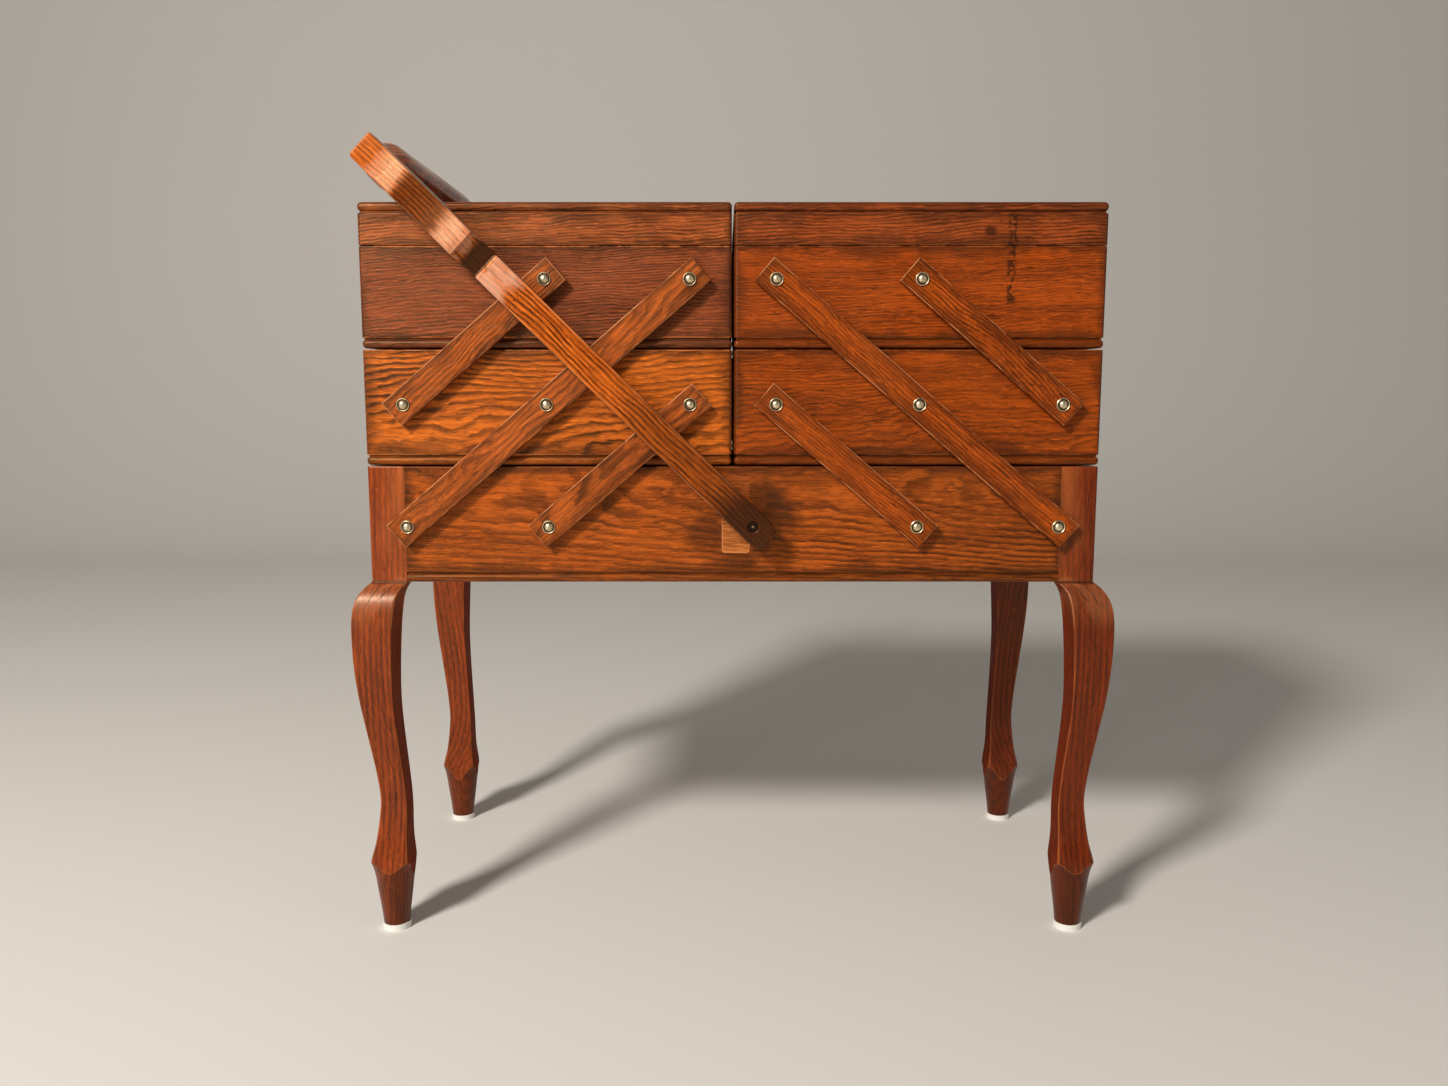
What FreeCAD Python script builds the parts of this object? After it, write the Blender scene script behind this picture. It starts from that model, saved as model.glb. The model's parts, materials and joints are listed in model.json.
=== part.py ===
"""Cantilever sewing box on cabriole legs, oak, in millimetres.

X runs from the left trays to the right trays, Y from the front to the rear and Z up.
The origin is on the floor, under the middle of the box.
A low case stands on four legs whose posts are its corners. A mid tray and a top tray on each side
hang on slanted wooden strips, so that they spread to the left and the right and stay level.
Each top tray has a hinged lid. The carrying handle turns on two pins low on the case
and lies over the left lid.
"""
import FreeCAD, Part
import math
import os

from FreeCAD import Vector

# Case
case_width = 450.0
case_depth = 206.0
leg_height = 228.5
case_height = 72.0
post_size = 22.5
case_board = 12.0
centre_gap = 1.3

# Trays and lids
tray_board = 9.0
mid_tray_height = 70.0
top_tray_height = 60.5
stack_gap = 0.9
lid_gap = 0.3
lid_rail_height = 19.0
lid_top_thickness = 6.6

# Edge beads: the rims of the thin floor boards and of the lid tops
bead_thickness = 5.2
groove_height = 1.0
groove_depth = 1.4
corner_radius = 2.4
arris = 0.7

# Cantilever strips and their rivets
strip_width = 18.0
strip_thickness = 6.5
strip_end = 9.5
strip_gap = 0.4
pivot_side_inset = 25.5
pivot_centre_inset = 26.0
base_pivot_height = 35.5
top_pivot_height = 40.5
rivet_shank_radius = 2.0
rivet_running_gap = 0.1
rivet_collar_radius = 4.1
rivet_collar_height = 0.6
rivet_dome_radius = 3.1
rivet_dome_height = 1.9
rivet_tail_radius = 2.8
rivet_tail_height = 1.2

# Legs
knee_swell = 10.8
leg_ridge_radius = 1.6
# Share of the leg's height, share of the knee's swell, share of the post's width
leg_stations = [
    (1.000, 0.00, 1.000),
    (0.982, 0.42, 1.040),
    (0.955, 0.76, 1.100),
    (0.915, 0.95, 1.135),
    (0.865, 1.00, 1.115),
    (0.770, 0.95, 1.045),
    (0.680, 0.78, 0.945),
    (0.604, 0.56, 0.865),
    (0.525, 0.32, 0.800),
    (0.451, 0.11, 0.752),
    (0.372, 0.00, 0.742),
    (0.271, 0.27, 0.880),
    (0.195, 0.64, 1.115),
    (0.125, 0.60, 1.100),
    (0.053, 0.43, 0.950),
    (0.0175, 0.37, 0.900),
]
# The foot is turned round, so that each flat face ends in a U: height above the glide, radius
foot_turning = [(0.0, 8.3), (8.0, 9.1), (22.0, 11.0), (33.0, 12.5), (40.0, 14.4), (48.0, 19.0)]
glide_radius = 9.0
glide_height = 4.0

# Handle
handle_offset = 12.0
handle_pivot_height = 37.1
arm_length = 317.0
arm_width = 18.0
arm_thickness = 9.0
arm_tail = 13.5
arm_standoff = 12.0
arm_end_radius = 7.0
arm_tip_radius = 2.6
swell_length = 26.0
swell_rise = 1.2
shoulder_radius_out = 218.7
shoulder_cove = 17.8
notch_run = 0.8
notch_depth = 2.2
cove_sag = 2.6
upper_arm_thickness = 16.8
grip_depth = 19.0
grip_width = 26.0
grip_round = 6.0
grip_taper = 30.0
# Share of the taper's length, share of the way from the arm's width to the grip's
grip_shoulder = [(0.0, 0.0), (0.25, 0.12), (0.5, 0.62), (0.75, 0.94), (1.0, 1.0)]
# Share of the stretch from the shoulder's crest to the tip, share of the upper arm's thickness
upper_arm_outline = [
    (0.0, 1.0),
    (0.087, 1.048),
    (0.273, 0.929),
    (0.472, 0.881),
    (0.702, 0.988),
    (0.839, 0.976),
    (1.0, 0.821),
]
handle_rest_gap = 8.5
pin_radius = 2.3
pin_head_radius = 3.0
pin_head_height = 1.6
pin_recess = 2.4
pin_nut_radius = 5.5
pin_nut_height = 2.6
spacer_radius = 6.5
running_gap = 0.1
spacer_gap = 0.2

# Lid hinges
hinge_length = 38.0
hinge_inset = 30.0
hinge_leaf_thickness = 1.2
hinge_leaf_height = 13.0
hinge_barrel_radius = 2.0
hinge_pin_radius = 1.0
hinge_pin_gap = 0.08
knuckle_gap = 0.25

# Levels and places worked out from the sizes above
half_width = case_width / 2
half_depth = case_depth / 2
half_gap = centre_gap / 2
floor_thickness = bead_thickness + groove_height
case_bottom = leg_height
case_top = case_bottom + case_height
mid_bottom = case_top + stack_gap
mid_top = mid_bottom + mid_tray_height
top_bottom = mid_top + stack_gap
top_top = top_bottom + top_tray_height
lid_bottom = top_top + lid_gap
lid_rail_top = lid_bottom + lid_rail_height
lid_top = lid_rail_top + lid_top_thickness

outer_x = half_width - pivot_side_inset
inner_x = pivot_centre_inset
middle_x = (outer_x + inner_x) / 2
low_z = case_bottom + base_pivot_height
high_z = top_bottom + top_pivot_height
middle_z = (low_z + high_z) / 2

handle_z = case_bottom + handle_pivot_height
grip_inner = arm_length - grip_depth
lean_reach = grip_inner + grip_round
lean_side = grip_width / 2 - grip_round
lean_height = lid_top + handle_rest_gap + grip_round - handle_z
lean_radius = math.hypot(lean_reach, lean_side)
handle_lean = math.acos(lean_height / lean_radius) - math.atan2(lean_side, lean_reach)

axis_z = top_top + lid_gap / 2
axis_x = half_width + hinge_barrel_radius


def box(x0, x1, y0, y1, z0, z1):
    low = Vector(min(x0, x1), min(y0, y1), min(z0, z1))
    return Part.makeBox(abs(x1 - x0), abs(y1 - y0), abs(z1 - z0), low)


def ease(shape, radius, wanted):
    """Rounds the straight edges whose middle point and direction the function wanted accepts."""
    picked = []
    for edge in shape.Edges:
        if len(edge.Vertexes) < 2:
            continue
        start, end = edge.Vertexes[0].Point, edge.Vertexes[1].Point
        if wanted((start + end) * 0.5, (end - start).normalize()):
            picked.append(edge)
    return shape.makeFillet(radius, picked)


def cylinder(radius, x, y0, y1, z):
    """A round bar along Y."""
    return Part.makeCylinder(radius, abs(y1 - y0), Vector(x, min(y0, y1), z), Vector(0, 1, 0))


def mirrored(shape, normal):
    return shape.mirror(Vector(0, 0, 0), normal)


def save(name, solids):
    shape = solids[0] if len(solids) == 1 else Part.makeCompound(solids)
    shape.exportStep("parts/" + name + ".step")


def upright(direction):
    return abs(direction.z) > 0.9


def beaded_panel(x0, x1, y0, y1, z0, thick, groove_below):
    """A thin board whose rim shows as a rounded bead, with a shadow groove under or over the bead."""
    bead = thick - groove_height
    bead_z = z0 + (groove_height if groove_below else 0)
    groove_z = z0 if groove_below else z0 + bead
    slab = box(x0, x1, y0, y1, bead_z, bead_z + bead)
    slab = ease(slab, corner_radius, lambda p, d: upright(d))
    rim = [e for e in slab.Edges if abs(e.Vertexes[0].Z - e.Vertexes[1].Z) < 1e-6]
    slab = slab.makeFillet(0.45 * bead, rim)
    inset = min(groove_depth, (abs(x1 - x0)) / 4)
    low, high = min(x0, x1), max(x0, x1)
    core = box(low + inset, high - inset, y0 + inset, y1 - inset, groove_z, groove_z + groove_height)
    return slab.fuse(core).removeSplitter()


def wall(x0, x1, y0, y1, z0, z1, out_x, out_y):
    """A tray or lid board with rounded outer edges: out_x and out_y are where its outer faces lie."""
    board = box(x0, x1, y0, y1, z0, z1)

    def outer_corner(p, d):
        at_x = any(abs(p.x - x) < 1e-3 for x in out_x)
        at_y = any(abs(p.y - y) < 1e-3 for y in out_y)
        return upright(d) and at_x and at_y

    if out_x and out_y:
        board = ease(board, corner_radius, outer_corner)
    outer_face = out_y if out_y else out_x

    def long_arris(p, d):
        across = abs(d.x) > 0.9 if out_y else abs(d.y) > 0.9
        place = p.y if out_y else p.x
        return across and any(abs(place - f) < 1e-3 for f in outer_face)

    return ease(board, arris, long_arris)


def holes(shape, points, radius, y_face):
    """Drills the board or strip at y_face along Y at each (x, z)."""
    depth = 2 * max(case_board, tray_board, strip_thickness)
    for x, z in points:
        shape = shape.cut(cylinder(radius, x, y_face - depth, y_face + depth, z))
    return shape


def rivet(x, z, face, board):
    """A domed rivet through a strip and the board behind it. face is -1 at the front and 1 at the rear."""
    under_head = strip_gap + strip_thickness + rivet_running_gap
    collar_top = under_head + rivet_collar_height
    ball = (rivet_dome_radius**2 + rivet_dome_height**2) / (2 * rivet_dome_height)
    ball_centre = collar_top + rivet_dome_height - ball
    cap_from = math.degrees(math.asin((ball - rivet_dome_height) / ball))
    up = Vector(0, 0, 1)
    body = Part.makeCylinder(rivet_shank_radius, board + collar_top, Vector(0, 0, -board))
    tail_at = Vector(0, 0, -board - rivet_tail_height)
    tail = Part.makeCylinder(rivet_tail_radius, rivet_tail_height, tail_at)
    collar = Part.makeCylinder(rivet_collar_radius, rivet_collar_height, Vector(0, 0, under_head))
    dome = Part.makeSphere(ball, Vector(0, 0, ball_centre), up, cap_from, 90, 360)
    body = body.fuse([tail, collar, dome]).removeSplitter()
    body.rotate(Vector(0, 0, 0), Vector(1, 0, 0), -90 * face)
    body.translate(Vector(x, face * half_depth, z))
    return body


def rivets(points, board):
    return [rivet(x, z, face, board) for face in (-1, 1) for x, z in points]


def strip(x0, z0, x1, z1, face, middle_hole):
    """A flat strip from one pivot to another on the front or rear faces, with a hole at each pivot."""
    run, rise = x1 - x0, z1 - z0
    length = math.hypot(run, rise)
    inner = face * (half_depth + strip_gap)
    outer = inner + face * strip_thickness
    bar = box(-strip_end, length + strip_end, inner, outer, -strip_width / 2, strip_width / 2)
    bar = ease(bar, arris, lambda p, d: abs(d.y) < 0.1 and abs(p.y - outer) < 1e-3)
    spots = [(0, 0), (length, 0)]
    if middle_hole:
        spots.append((length / 2, 0))
    bar = holes(bar, spots, rivet_shank_radius + rivet_running_gap, inner)
    bar.rotate(Vector(0, 0, 0), Vector(0, 1, 0), -math.degrees(math.atan2(rise, run)))
    bar.translate(Vector(x0, 0, z0))
    return bar


def tray(side, z0, z1, points):
    """The boards of one tray: front, rear, two ends and the beaded floor."""
    near, far = side * half_gap, side * half_width
    top_of_floor = z0 + floor_thickness
    board = {}
    for name, face in (("front", -1), ("rear", 1)):
        outer = face * half_depth
        inner = outer - face * tray_board
        piece = wall(near, far, outer, inner, top_of_floor, z1, (near, far), (outer,))
        board[name] = holes(piece, points, rivet_shank_radius, outer)
    reach = half_depth - tray_board
    outside = wall(far - side * tray_board, far, -reach, reach, top_of_floor, z1, (far,), ())
    inside = wall(near, near + side * tray_board, -reach, reach, top_of_floor, z1, (near,), ())
    board["ends"] = [outside, inside]
    board["floor"] = beaded_panel(near, far, -half_depth, half_depth, z0, floor_thickness, False)
    return board


def rounded_square(cx, cy, z, width, radius):
    """A closed wire: a square of that width with rounded corners."""
    half = width / 2
    flat = half - radius
    bend = radius * math.sqrt(0.5)
    edges = []
    for sx, sy in ((1, 1), (-1, 1), (-1, -1), (1, -1)):
        centre = Vector(cx + sx * flat, cy + sy * flat, z)
        on_x = centre + Vector(sx * radius, 0, 0)
        on_y = centre + Vector(0, sy * radius, 0)
        middle = centre + Vector(sx * bend, sy * bend, 0)
        first, last = (on_x, on_y) if sx * sy > 0 else (on_y, on_x)
        edges.append((first, middle, last))
    wire = []
    for i, (first, middle, last) in enumerate(edges):
        wire.append(Part.Arc(first, middle, last).toShape())
        wire.append(Part.makeLine(last, edges[(i + 1) % 4][0]))
    return Part.Wire(wire)


def leg():
    """The front left leg: a post at the case's corner and a cabriole leg below it, in one piece."""
    sections = []
    for height, swell, width in leg_stations:
        wide = post_size * width
        inward = wide / 2 - knee_swell * swell
        level = leg_height * height
        if height == leg_stations[-1][0]:
            level = glide_height
        centre_x, centre_y = -half_width + inward, -half_depth + inward
        sections.append(rounded_square(centre_x, centre_y, level, wide, leg_ridge_radius))
    curve = Part.makeLoft(sections, True, False).cut(toe_waste())
    inner_x_face = -half_width + post_size
    inner_y_face = -half_depth + post_size
    post = box(-half_width, inner_x_face, -half_depth, inner_y_face, case_bottom, case_top)

    def outer_corner(p, d):
        return upright(d) and p.x < inner_x_face - 1 and p.y < inner_y_face - 1

    return ease(post, corner_radius, outer_corner).fuse(curve)


def foot_centre():
    wide = post_size * leg_stations[-1][2]
    return wide / 2 - knee_swell * leg_stations[-1][1]


def toe_waste():
    """What the lathe takes off the foot of the front left leg: a block without the turned foot."""
    top_height, top_radius = foot_turning[-1]
    reach = 2 * top_radius
    block = box(-reach, reach, -reach, reach, -1, top_height)
    outline = Part.BSplineCurve()
    outline.interpolate([Vector(radius, 0, height) for height, radius in foot_turning])
    foot, top = Vector(foot_turning[0][1], 0, 0), Vector(top_radius, 0, top_height)
    edges = [outline.toShape()]
    for start, end in ((top, Vector(0, 0, top_height)), (Vector(0, 0, top_height), Vector(0, 0, 0))):
        edges.append(Part.makeLine(start, end))
    edges.append(Part.makeLine(Vector(0, 0, 0), foot))
    turned = Part.Face(Part.Wire(edges)).revolve(Vector(0, 0, 0), Vector(0, 0, 1), 360)
    waste = block.cut(turned)
    waste.translate(Vector(-half_width + foot_centre(), -half_depth + foot_centre(), glide_height))
    return waste


def legs():
    front_left = leg()
    front_right = mirrored(front_left, Vector(1, 0, 0))
    inward = foot_centre()
    save("leg_front_left", [front_left])
    save("leg_front_right", [front_right])
    save("leg_rear_left", [mirrored(front_left, Vector(0, 1, 0))])
    save("leg_rear_right", [mirrored(front_right, Vector(0, 1, 0))])
    pads = []
    for sx in (-1, 1):
        for sy in (-1, 1):
            spot = Vector(sx * (half_width - inward), sy * (half_depth - inward), 0)
            pads.append(Part.makeCylinder(glide_radius, glide_height, spot))
    save("foot_glides", pads)


def case():
    """The low case between the posts."""
    board_bottom = case_bottom + floor_thickness
    reach_x = half_width - post_size
    reach_y = half_depth - post_size
    pivots = [(s * x, low_z) for s in (-1, 1) for x in (outer_x, middle_x)]
    for name, face in (("front", -1), ("rear", 1)):
        outer = face * half_depth
        inner = outer - face * case_board
        board = box(-reach_x, reach_x, outer, inner, board_bottom, case_top)
        board = ease(board, arris, lambda p, d: abs(d.x) > 0.9 and abs(p.y - outer) < 1e-3)
        in_board = [(x, z) for x, z in pivots if abs(x) < reach_x]
        board = holes(board, in_board, rivet_shank_radius, outer)
        board = holes(board, [(handle_offset, handle_z)], pin_radius + running_gap, outer)
        save("case_" + name + "_board", [board])
    for name, side in (("left", -1), ("right", 1)):
        outer = side * half_width
        inner = outer - side * case_board
        board = box(outer, inner, -reach_y, reach_y, board_bottom, case_top)
        board = ease(board, arris, lambda p, d: abs(d.y) > 0.9 and abs(p.x - outer) < 1e-3)
        save("case_" + name + "_end", [board])
    top = case_bottom + bead_thickness
    long_slab = box(-reach_x, reach_x, -half_depth, half_depth, case_bottom, top)
    cross_slab = box(-half_width, half_width, -reach_y, reach_y, case_bottom, top)
    slab = long_slab.fuse(cross_slab).removeSplitter()

    def rim(p, d):
        on_side = abs(abs(p.x) - half_width) < 1e-3 or abs(abs(p.y) - half_depth) < 1e-3
        return on_side and not upright(d)

    slab = ease(slab, 0.45 * bead_thickness, rim)
    core_x, core_y = half_width - groove_depth, half_depth - groove_depth
    long_core = box(-reach_x, reach_x, -core_y, core_y, top, board_bottom)
    cross_core = box(-core_x, core_x, -reach_y, reach_y, top, board_bottom)
    save("case_bottom_board", [slab.fuse(long_core).fuse(cross_core).removeSplitter()])
    save("case_rivets", rivets(pivots, case_board))


def trays():
    levels = (
        ("mid", mid_bottom, mid_top, middle_z, (outer_x, middle_x, inner_x)),
        ("top", top_bottom, top_top, high_z, (middle_x, inner_x)),
    )
    for side_name, side in (("left", -1), ("right", 1)):
        for level, z0, z1, pivot_z, places in levels:
            points = [(side * x, pivot_z) for x in places]
            board = tray(side, z0, z1, points)
            stem = side_name + "_" + level + "_tray_"
            for name in ("front", "rear", "floor"):
                save(stem + name, [board[name]])
            save(stem + "ends", board["ends"])
            save(stem + "rivets", rivets(points, tray_board))


def strips():
    runs = (
        ("long", outer_x, low_z, inner_x, high_z, True),
        ("lower", middle_x, low_z, inner_x, middle_z, False),
        ("upper", outer_x, middle_z, middle_x, high_z, False),
    )
    for side_name, side in (("left", -1), ("right", 1)):
        for kind, x0, z0, x1, z1, middle_hole in runs:
            for face_name, face in (("front", -1), ("rear", 1)):
                piece = strip(side * x0, z0, side * x1, z1, face, middle_hole)
                save(side_name + "_" + kind + "_strip_" + face_name, [piece])


def lids():
    for side_name, side in (("left", -1), ("right", 1)):
        near, far = side * half_gap, side * half_width
        z0, z1 = lid_bottom, lid_rail_top
        rails = []
        for face in (-1, 1):
            outer = face * half_depth
            inner = outer - face * tray_board
            rails.append(wall(near, far, outer, inner, z0, z1, (near, far), (outer,)))
        reach = half_depth - tray_board
        rails.append(wall(far - side * tray_board, far, -reach, reach, z0, z1, (far,), ()))
        rails.append(wall(near, near + side * tray_board, -reach, reach, z0, z1, (near,), ()))
        save(side_name + "_lid_frame", rails)
        panel = beaded_panel(near, far, -half_depth, half_depth, lid_rail_top, lid_top_thickness, True)
        save(side_name + "_lid_top", [panel])


def hinge(centre_y):
    """One right-hand butt hinge: the tray's leaf with two knuckles, the lid's with one, and the pin."""
    third = hinge_length / 3
    start = centre_y - hinge_length / 2
    bore = hinge_pin_radius + hinge_pin_gap
    clear = hinge_barrel_radius + knuckle_gap
    spans = {"tray": [(start, start + third), (start + 2 * third, start + hinge_length)]}
    spans["lid"] = [(start + third + knuckle_gap, start + 2 * third - knuckle_gap)]
    leaves = {}
    for name, sign in (("tray", -1), ("lid", 1)):
        edge = axis_z + sign * hinge_leaf_height
        leaf = box(half_width, half_width + hinge_leaf_thickness, start, start + hinge_length, axis_z, edge)
        other = "lid" if name == "tray" else "tray"
        for y0, y1 in spans[other]:
            leaf = leaf.cut(cylinder(clear, axis_x, y0 - knuckle_gap, y1 + knuckle_gap, axis_z))
        trimmed = box(half_width, axis_x, start, start + hinge_length, axis_z, axis_z + sign * knuckle_gap)
        leaf = leaf.cut(trimmed)
        for y0, y1 in spans[name]:
            leaf = leaf.fuse(cylinder(hinge_barrel_radius, axis_x, y0, y1, axis_z))
        leaf = leaf.cut(cylinder(bore, axis_x, start, start + hinge_length, axis_z))
        leaves[name] = leaf.removeSplitter()
    leaves["pin"] = cylinder(hinge_pin_radius, axis_x, start, start + hinge_length, axis_z)
    return leaves


def hinges():
    centre = half_depth - hinge_inset - hinge_length / 2
    pair = [hinge(-centre), hinge(centre)]
    for side_name, flip in (("right", False), ("left", True)):
        for name in ("tray", "lid", "pin"):
            pieces = [h[name] for h in pair]
            if flip:
                pieces = [mirrored(p, Vector(1, 0, 0)) for p in pieces]
            part_name = "pins" if name == "pin" else name + "_leaves"
            save(side_name + "_hinge_" + part_name, pieces)


def swung(shape):
    """Takes a handle piece from upright, with its pivot at the origin, to its place over the left lid."""
    placed = shape.copy()
    placed.rotate(Vector(0, 0, 0), Vector(0, 1, 0), -math.degrees(handle_lean))
    placed.translate(Vector(handle_offset, 0, handle_z))
    return placed


def front_arm():
    """The front arm, upright: its side outline swept across its width, rounded at the foot and the tip."""
    inner = half_depth + arm_standoff
    crest = shoulder_radius_out + shoulder_cove
    thick = arm_thickness
    through = inner + 2 * thick

    def at(radius, depth):
        return Vector(0, -(inner + depth), radius)

    swell = [
        at(shoulder_radius_out - swell_length, thick),
        at(shoulder_radius_out - swell_length / 2, thick + swell_rise),
        at(shoulder_radius_out, thick + swell_rise / 2),
    ]
    cove_foot = at(shoulder_radius_out + notch_run, thick - notch_depth)
    cove_top = at(crest, upper_arm_thickness)
    chord = cove_top - cove_foot
    sag = Vector(0, chord.z, -chord.y).normalize() * cove_sag
    cove = [cove_foot, (cove_foot + cove_top) * 0.5 + sag, cove_top]
    face = []
    for share, depth in upper_arm_outline:
        face.append(at(crest + share * (arm_length - crest), depth * upper_arm_thickness))
    swell_curve = Part.BSplineCurve()
    swell_curve.interpolate(swell)
    face_curve = Part.BSplineCurve()
    face_curve.interpolate(face)
    edges = [
        Part.makeLine(at(-arm_tail, 0), at(-arm_tail, thick)),
        Part.makeLine(at(-arm_tail, thick), swell[0]),
        swell_curve.toShape(),
        Part.makeLine(swell[-1], cove_foot),
        Part.Arc(*cove).toShape(),
        face_curve.toShape(),
        Part.makeLine(face[-1], at(arm_length, 0)),
        Part.makeLine(at(arm_length, 0), at(-arm_tail, 0)),
    ]
    outline = Part.Face(Part.Wire(edges))
    outline.translate(Vector(-arm_width / 2, 0, 0))
    arm = outline.extrude(Vector(arm_width, 0, 0))
    ends = [
        (arm_end_radius, lambda p, d: abs(d.y) > 0.9 and p.z < -arm_tail / 2),
        (arm_tip_radius, lambda p, d: abs(d.y) > 0.9 and p.z > arm_length - 1 and p.x < 0),
    ]
    for radius, wanted in ends:
        arm = ease(arm, radius, wanted)
    arm = arm.cut(cylinder(pin_radius + running_gap, 0, -through, 0, 0))
    return arm.cut(cylinder(pin_head_radius + spacer_gap, 0, -through, -inner - thick + pin_recess, 0))


def grip():
    """The grip bar, upright: an even bar along Y that narrows behind each arm."""
    reach = half_depth + arm_standoff
    middle_r = arm_length - grip_depth / 2
    sections = []
    for share, grow in grip_shoulder:
        wide = arm_width + grow * (grip_width - arm_width)
        sections.append(bar_section(reach - grip_taper * share, middle_r, wide))
    taper = Part.makeLoft(sections, True, False)
    middle = Part.Face(bar_section(-reach + grip_taper, middle_r, grip_width))
    bar = middle.extrude(Vector(0, 2 * (reach - grip_taper), 0))
    return bar.fuse([taper, mirrored(taper, Vector(0, 1, 0))]).removeSplitter()


def bar_section(y, middle_r, wide):
    """A rounded rectangle across the grip at y."""
    half_w, half_h = wide / 2, grip_depth / 2
    flat_w, flat_h = half_w - grip_round, half_h - grip_round
    bend = grip_round * math.sqrt(0.5)
    corners = []
    for sx, sz in ((1, 1), (-1, 1), (-1, -1), (1, -1)):
        centre = Vector(sx * flat_w, y, middle_r + sz * flat_h)
        on_x = centre + Vector(sx * grip_round, 0, 0)
        on_z = centre + Vector(0, 0, sz * grip_round)
        middle = centre + Vector(sx * bend, 0, sz * bend)
        corners.append((on_x, middle, on_z) if sx * sz > 0 else (on_z, middle, on_x))
    edges = []
    for i, (first, middle, last) in enumerate(corners):
        edges.append(Part.Arc(first, middle, last).toShape())
        edges.append(Part.makeLine(last, corners[(i + 1) % 4][0]))
    return Part.Wire(edges)


def pivot_pin():
    """The front handle pin: a flat head in the arm's recess, a shank through the case and a nut."""
    inner = half_depth + arm_standoff
    head_out = -(inner + arm_thickness - pin_recess + pin_head_height)
    head_in = head_out + pin_head_height
    nut_in = -half_depth + case_board
    shank = cylinder(pin_radius, 0, head_out, nut_in + pin_nut_height, 0)
    head = cylinder(pin_head_radius, 0, head_out, head_in - running_gap, 0)
    nut = cylinder(pin_nut_radius, 0, nut_in + running_gap, nut_in + pin_nut_height, 0)
    return shank.fuse(head).fuse(nut).removeSplitter()


def handle():
    front = front_arm()
    save("handle_front_arm", [swung(front)])
    save("handle_rear_arm", [swung(mirrored(front, Vector(0, 1, 0)))])
    save("handle_grip", [swung(grip())])
    pin = pivot_pin()
    save("handle_pivot_pins", [swung(pin), swung(mirrored(pin, Vector(0, 1, 0)))])
    reach = half_depth + arm_standoff
    spacer = cylinder(spacer_radius, 0, -half_depth, -reach + spacer_gap, 0)
    spacer = spacer.cut(cylinder(pin_radius + running_gap, 0, -reach, 0, 0))
    save("handle_spacers", [swung(spacer), swung(mirrored(spacer, Vector(0, 1, 0)))])


os.makedirs("parts", exist_ok=True)
case()
legs()
trays()
strips()
lids()
hinges()
handle()
print("lean of the handle", round(math.degrees(handle_lean), 3), "degrees")
print("strips: length", round(math.hypot(outer_x - middle_x, middle_z - low_z), 3))
print("lid top at", round(lid_top, 2), "mm")
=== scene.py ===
# %% [markdown]
# A wooden sewing box that opens like a staircase
#
# The real box is a low oak case on four cabriole legs. Two trays on each side hang on slanted strips,
# and a carrying handle swings over the lids. The construction arrives as a fixed frame in metres. This
# script gives every surface its finish, models the forms that need more than straight boards, and sets
# up the camera and the light.

import json
import math

import bmesh
import bpy
from mathutils import Euler, Matrix, Vector

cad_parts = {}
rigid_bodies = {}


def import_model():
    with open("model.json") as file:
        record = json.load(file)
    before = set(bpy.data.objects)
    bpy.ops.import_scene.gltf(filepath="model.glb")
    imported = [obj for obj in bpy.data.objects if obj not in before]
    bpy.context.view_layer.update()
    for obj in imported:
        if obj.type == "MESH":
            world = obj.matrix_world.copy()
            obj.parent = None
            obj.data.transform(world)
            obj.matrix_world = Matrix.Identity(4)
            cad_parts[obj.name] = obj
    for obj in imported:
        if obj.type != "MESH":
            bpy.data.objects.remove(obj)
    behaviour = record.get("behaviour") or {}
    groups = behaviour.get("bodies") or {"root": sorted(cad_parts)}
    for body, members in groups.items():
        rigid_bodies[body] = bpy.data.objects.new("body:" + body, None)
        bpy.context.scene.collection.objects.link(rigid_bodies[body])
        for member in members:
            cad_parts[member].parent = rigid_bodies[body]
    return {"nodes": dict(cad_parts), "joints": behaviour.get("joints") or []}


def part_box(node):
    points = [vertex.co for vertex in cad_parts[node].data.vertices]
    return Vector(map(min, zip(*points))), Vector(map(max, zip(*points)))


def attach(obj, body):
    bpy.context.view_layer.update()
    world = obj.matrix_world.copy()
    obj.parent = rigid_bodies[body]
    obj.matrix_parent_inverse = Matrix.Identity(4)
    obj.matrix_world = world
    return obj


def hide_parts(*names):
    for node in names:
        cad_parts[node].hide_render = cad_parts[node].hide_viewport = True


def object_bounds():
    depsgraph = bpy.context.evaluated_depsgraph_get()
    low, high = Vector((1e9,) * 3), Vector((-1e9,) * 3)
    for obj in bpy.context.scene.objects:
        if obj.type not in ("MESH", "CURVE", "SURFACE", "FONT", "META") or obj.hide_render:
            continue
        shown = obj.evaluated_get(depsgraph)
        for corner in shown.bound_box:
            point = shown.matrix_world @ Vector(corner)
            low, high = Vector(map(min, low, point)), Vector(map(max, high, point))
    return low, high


for leftover in list(bpy.data.objects):
    bpy.data.objects.remove(leftover)
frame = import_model()
cad_low, cad_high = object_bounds()
nodes = frame["nodes"]
joints = {joint["name"]: joint for joint in frame["joints"]}
MM = 0.001

# %% [markdown]
# The camera
#
# The box is seen from just above its lids, from close by, which is why its feet look small. The lens
# is a mild wide angle. Its height and tilt put the horizon a little over the middle of the lids.

# %% Camera
sensor_width = 36.0
photo_width = 1448
focal_pixels = 1157
camera_place = Vector((-5.4, -814, 348)) * MM
camera_tilt_down = math.radians(7.6)

camera_data = bpy.data.cameras.new("camera")
camera_data.sensor_fit = "HORIZONTAL"
camera_data.sensor_width = sensor_width
camera_data.lens = sensor_width * focal_pixels / photo_width
camera_data.clip_start = 20 * MM
camera = bpy.data.objects.new("camera", camera_data)
camera.location = camera_place
camera.rotation_euler = (math.radians(90) - camera_tilt_down, 0, 0)
bpy.context.scene.collection.objects.link(camera)
bpy.context.scene.camera = camera
print("lens", round(camera_data.lens, 2), "mm")

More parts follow.
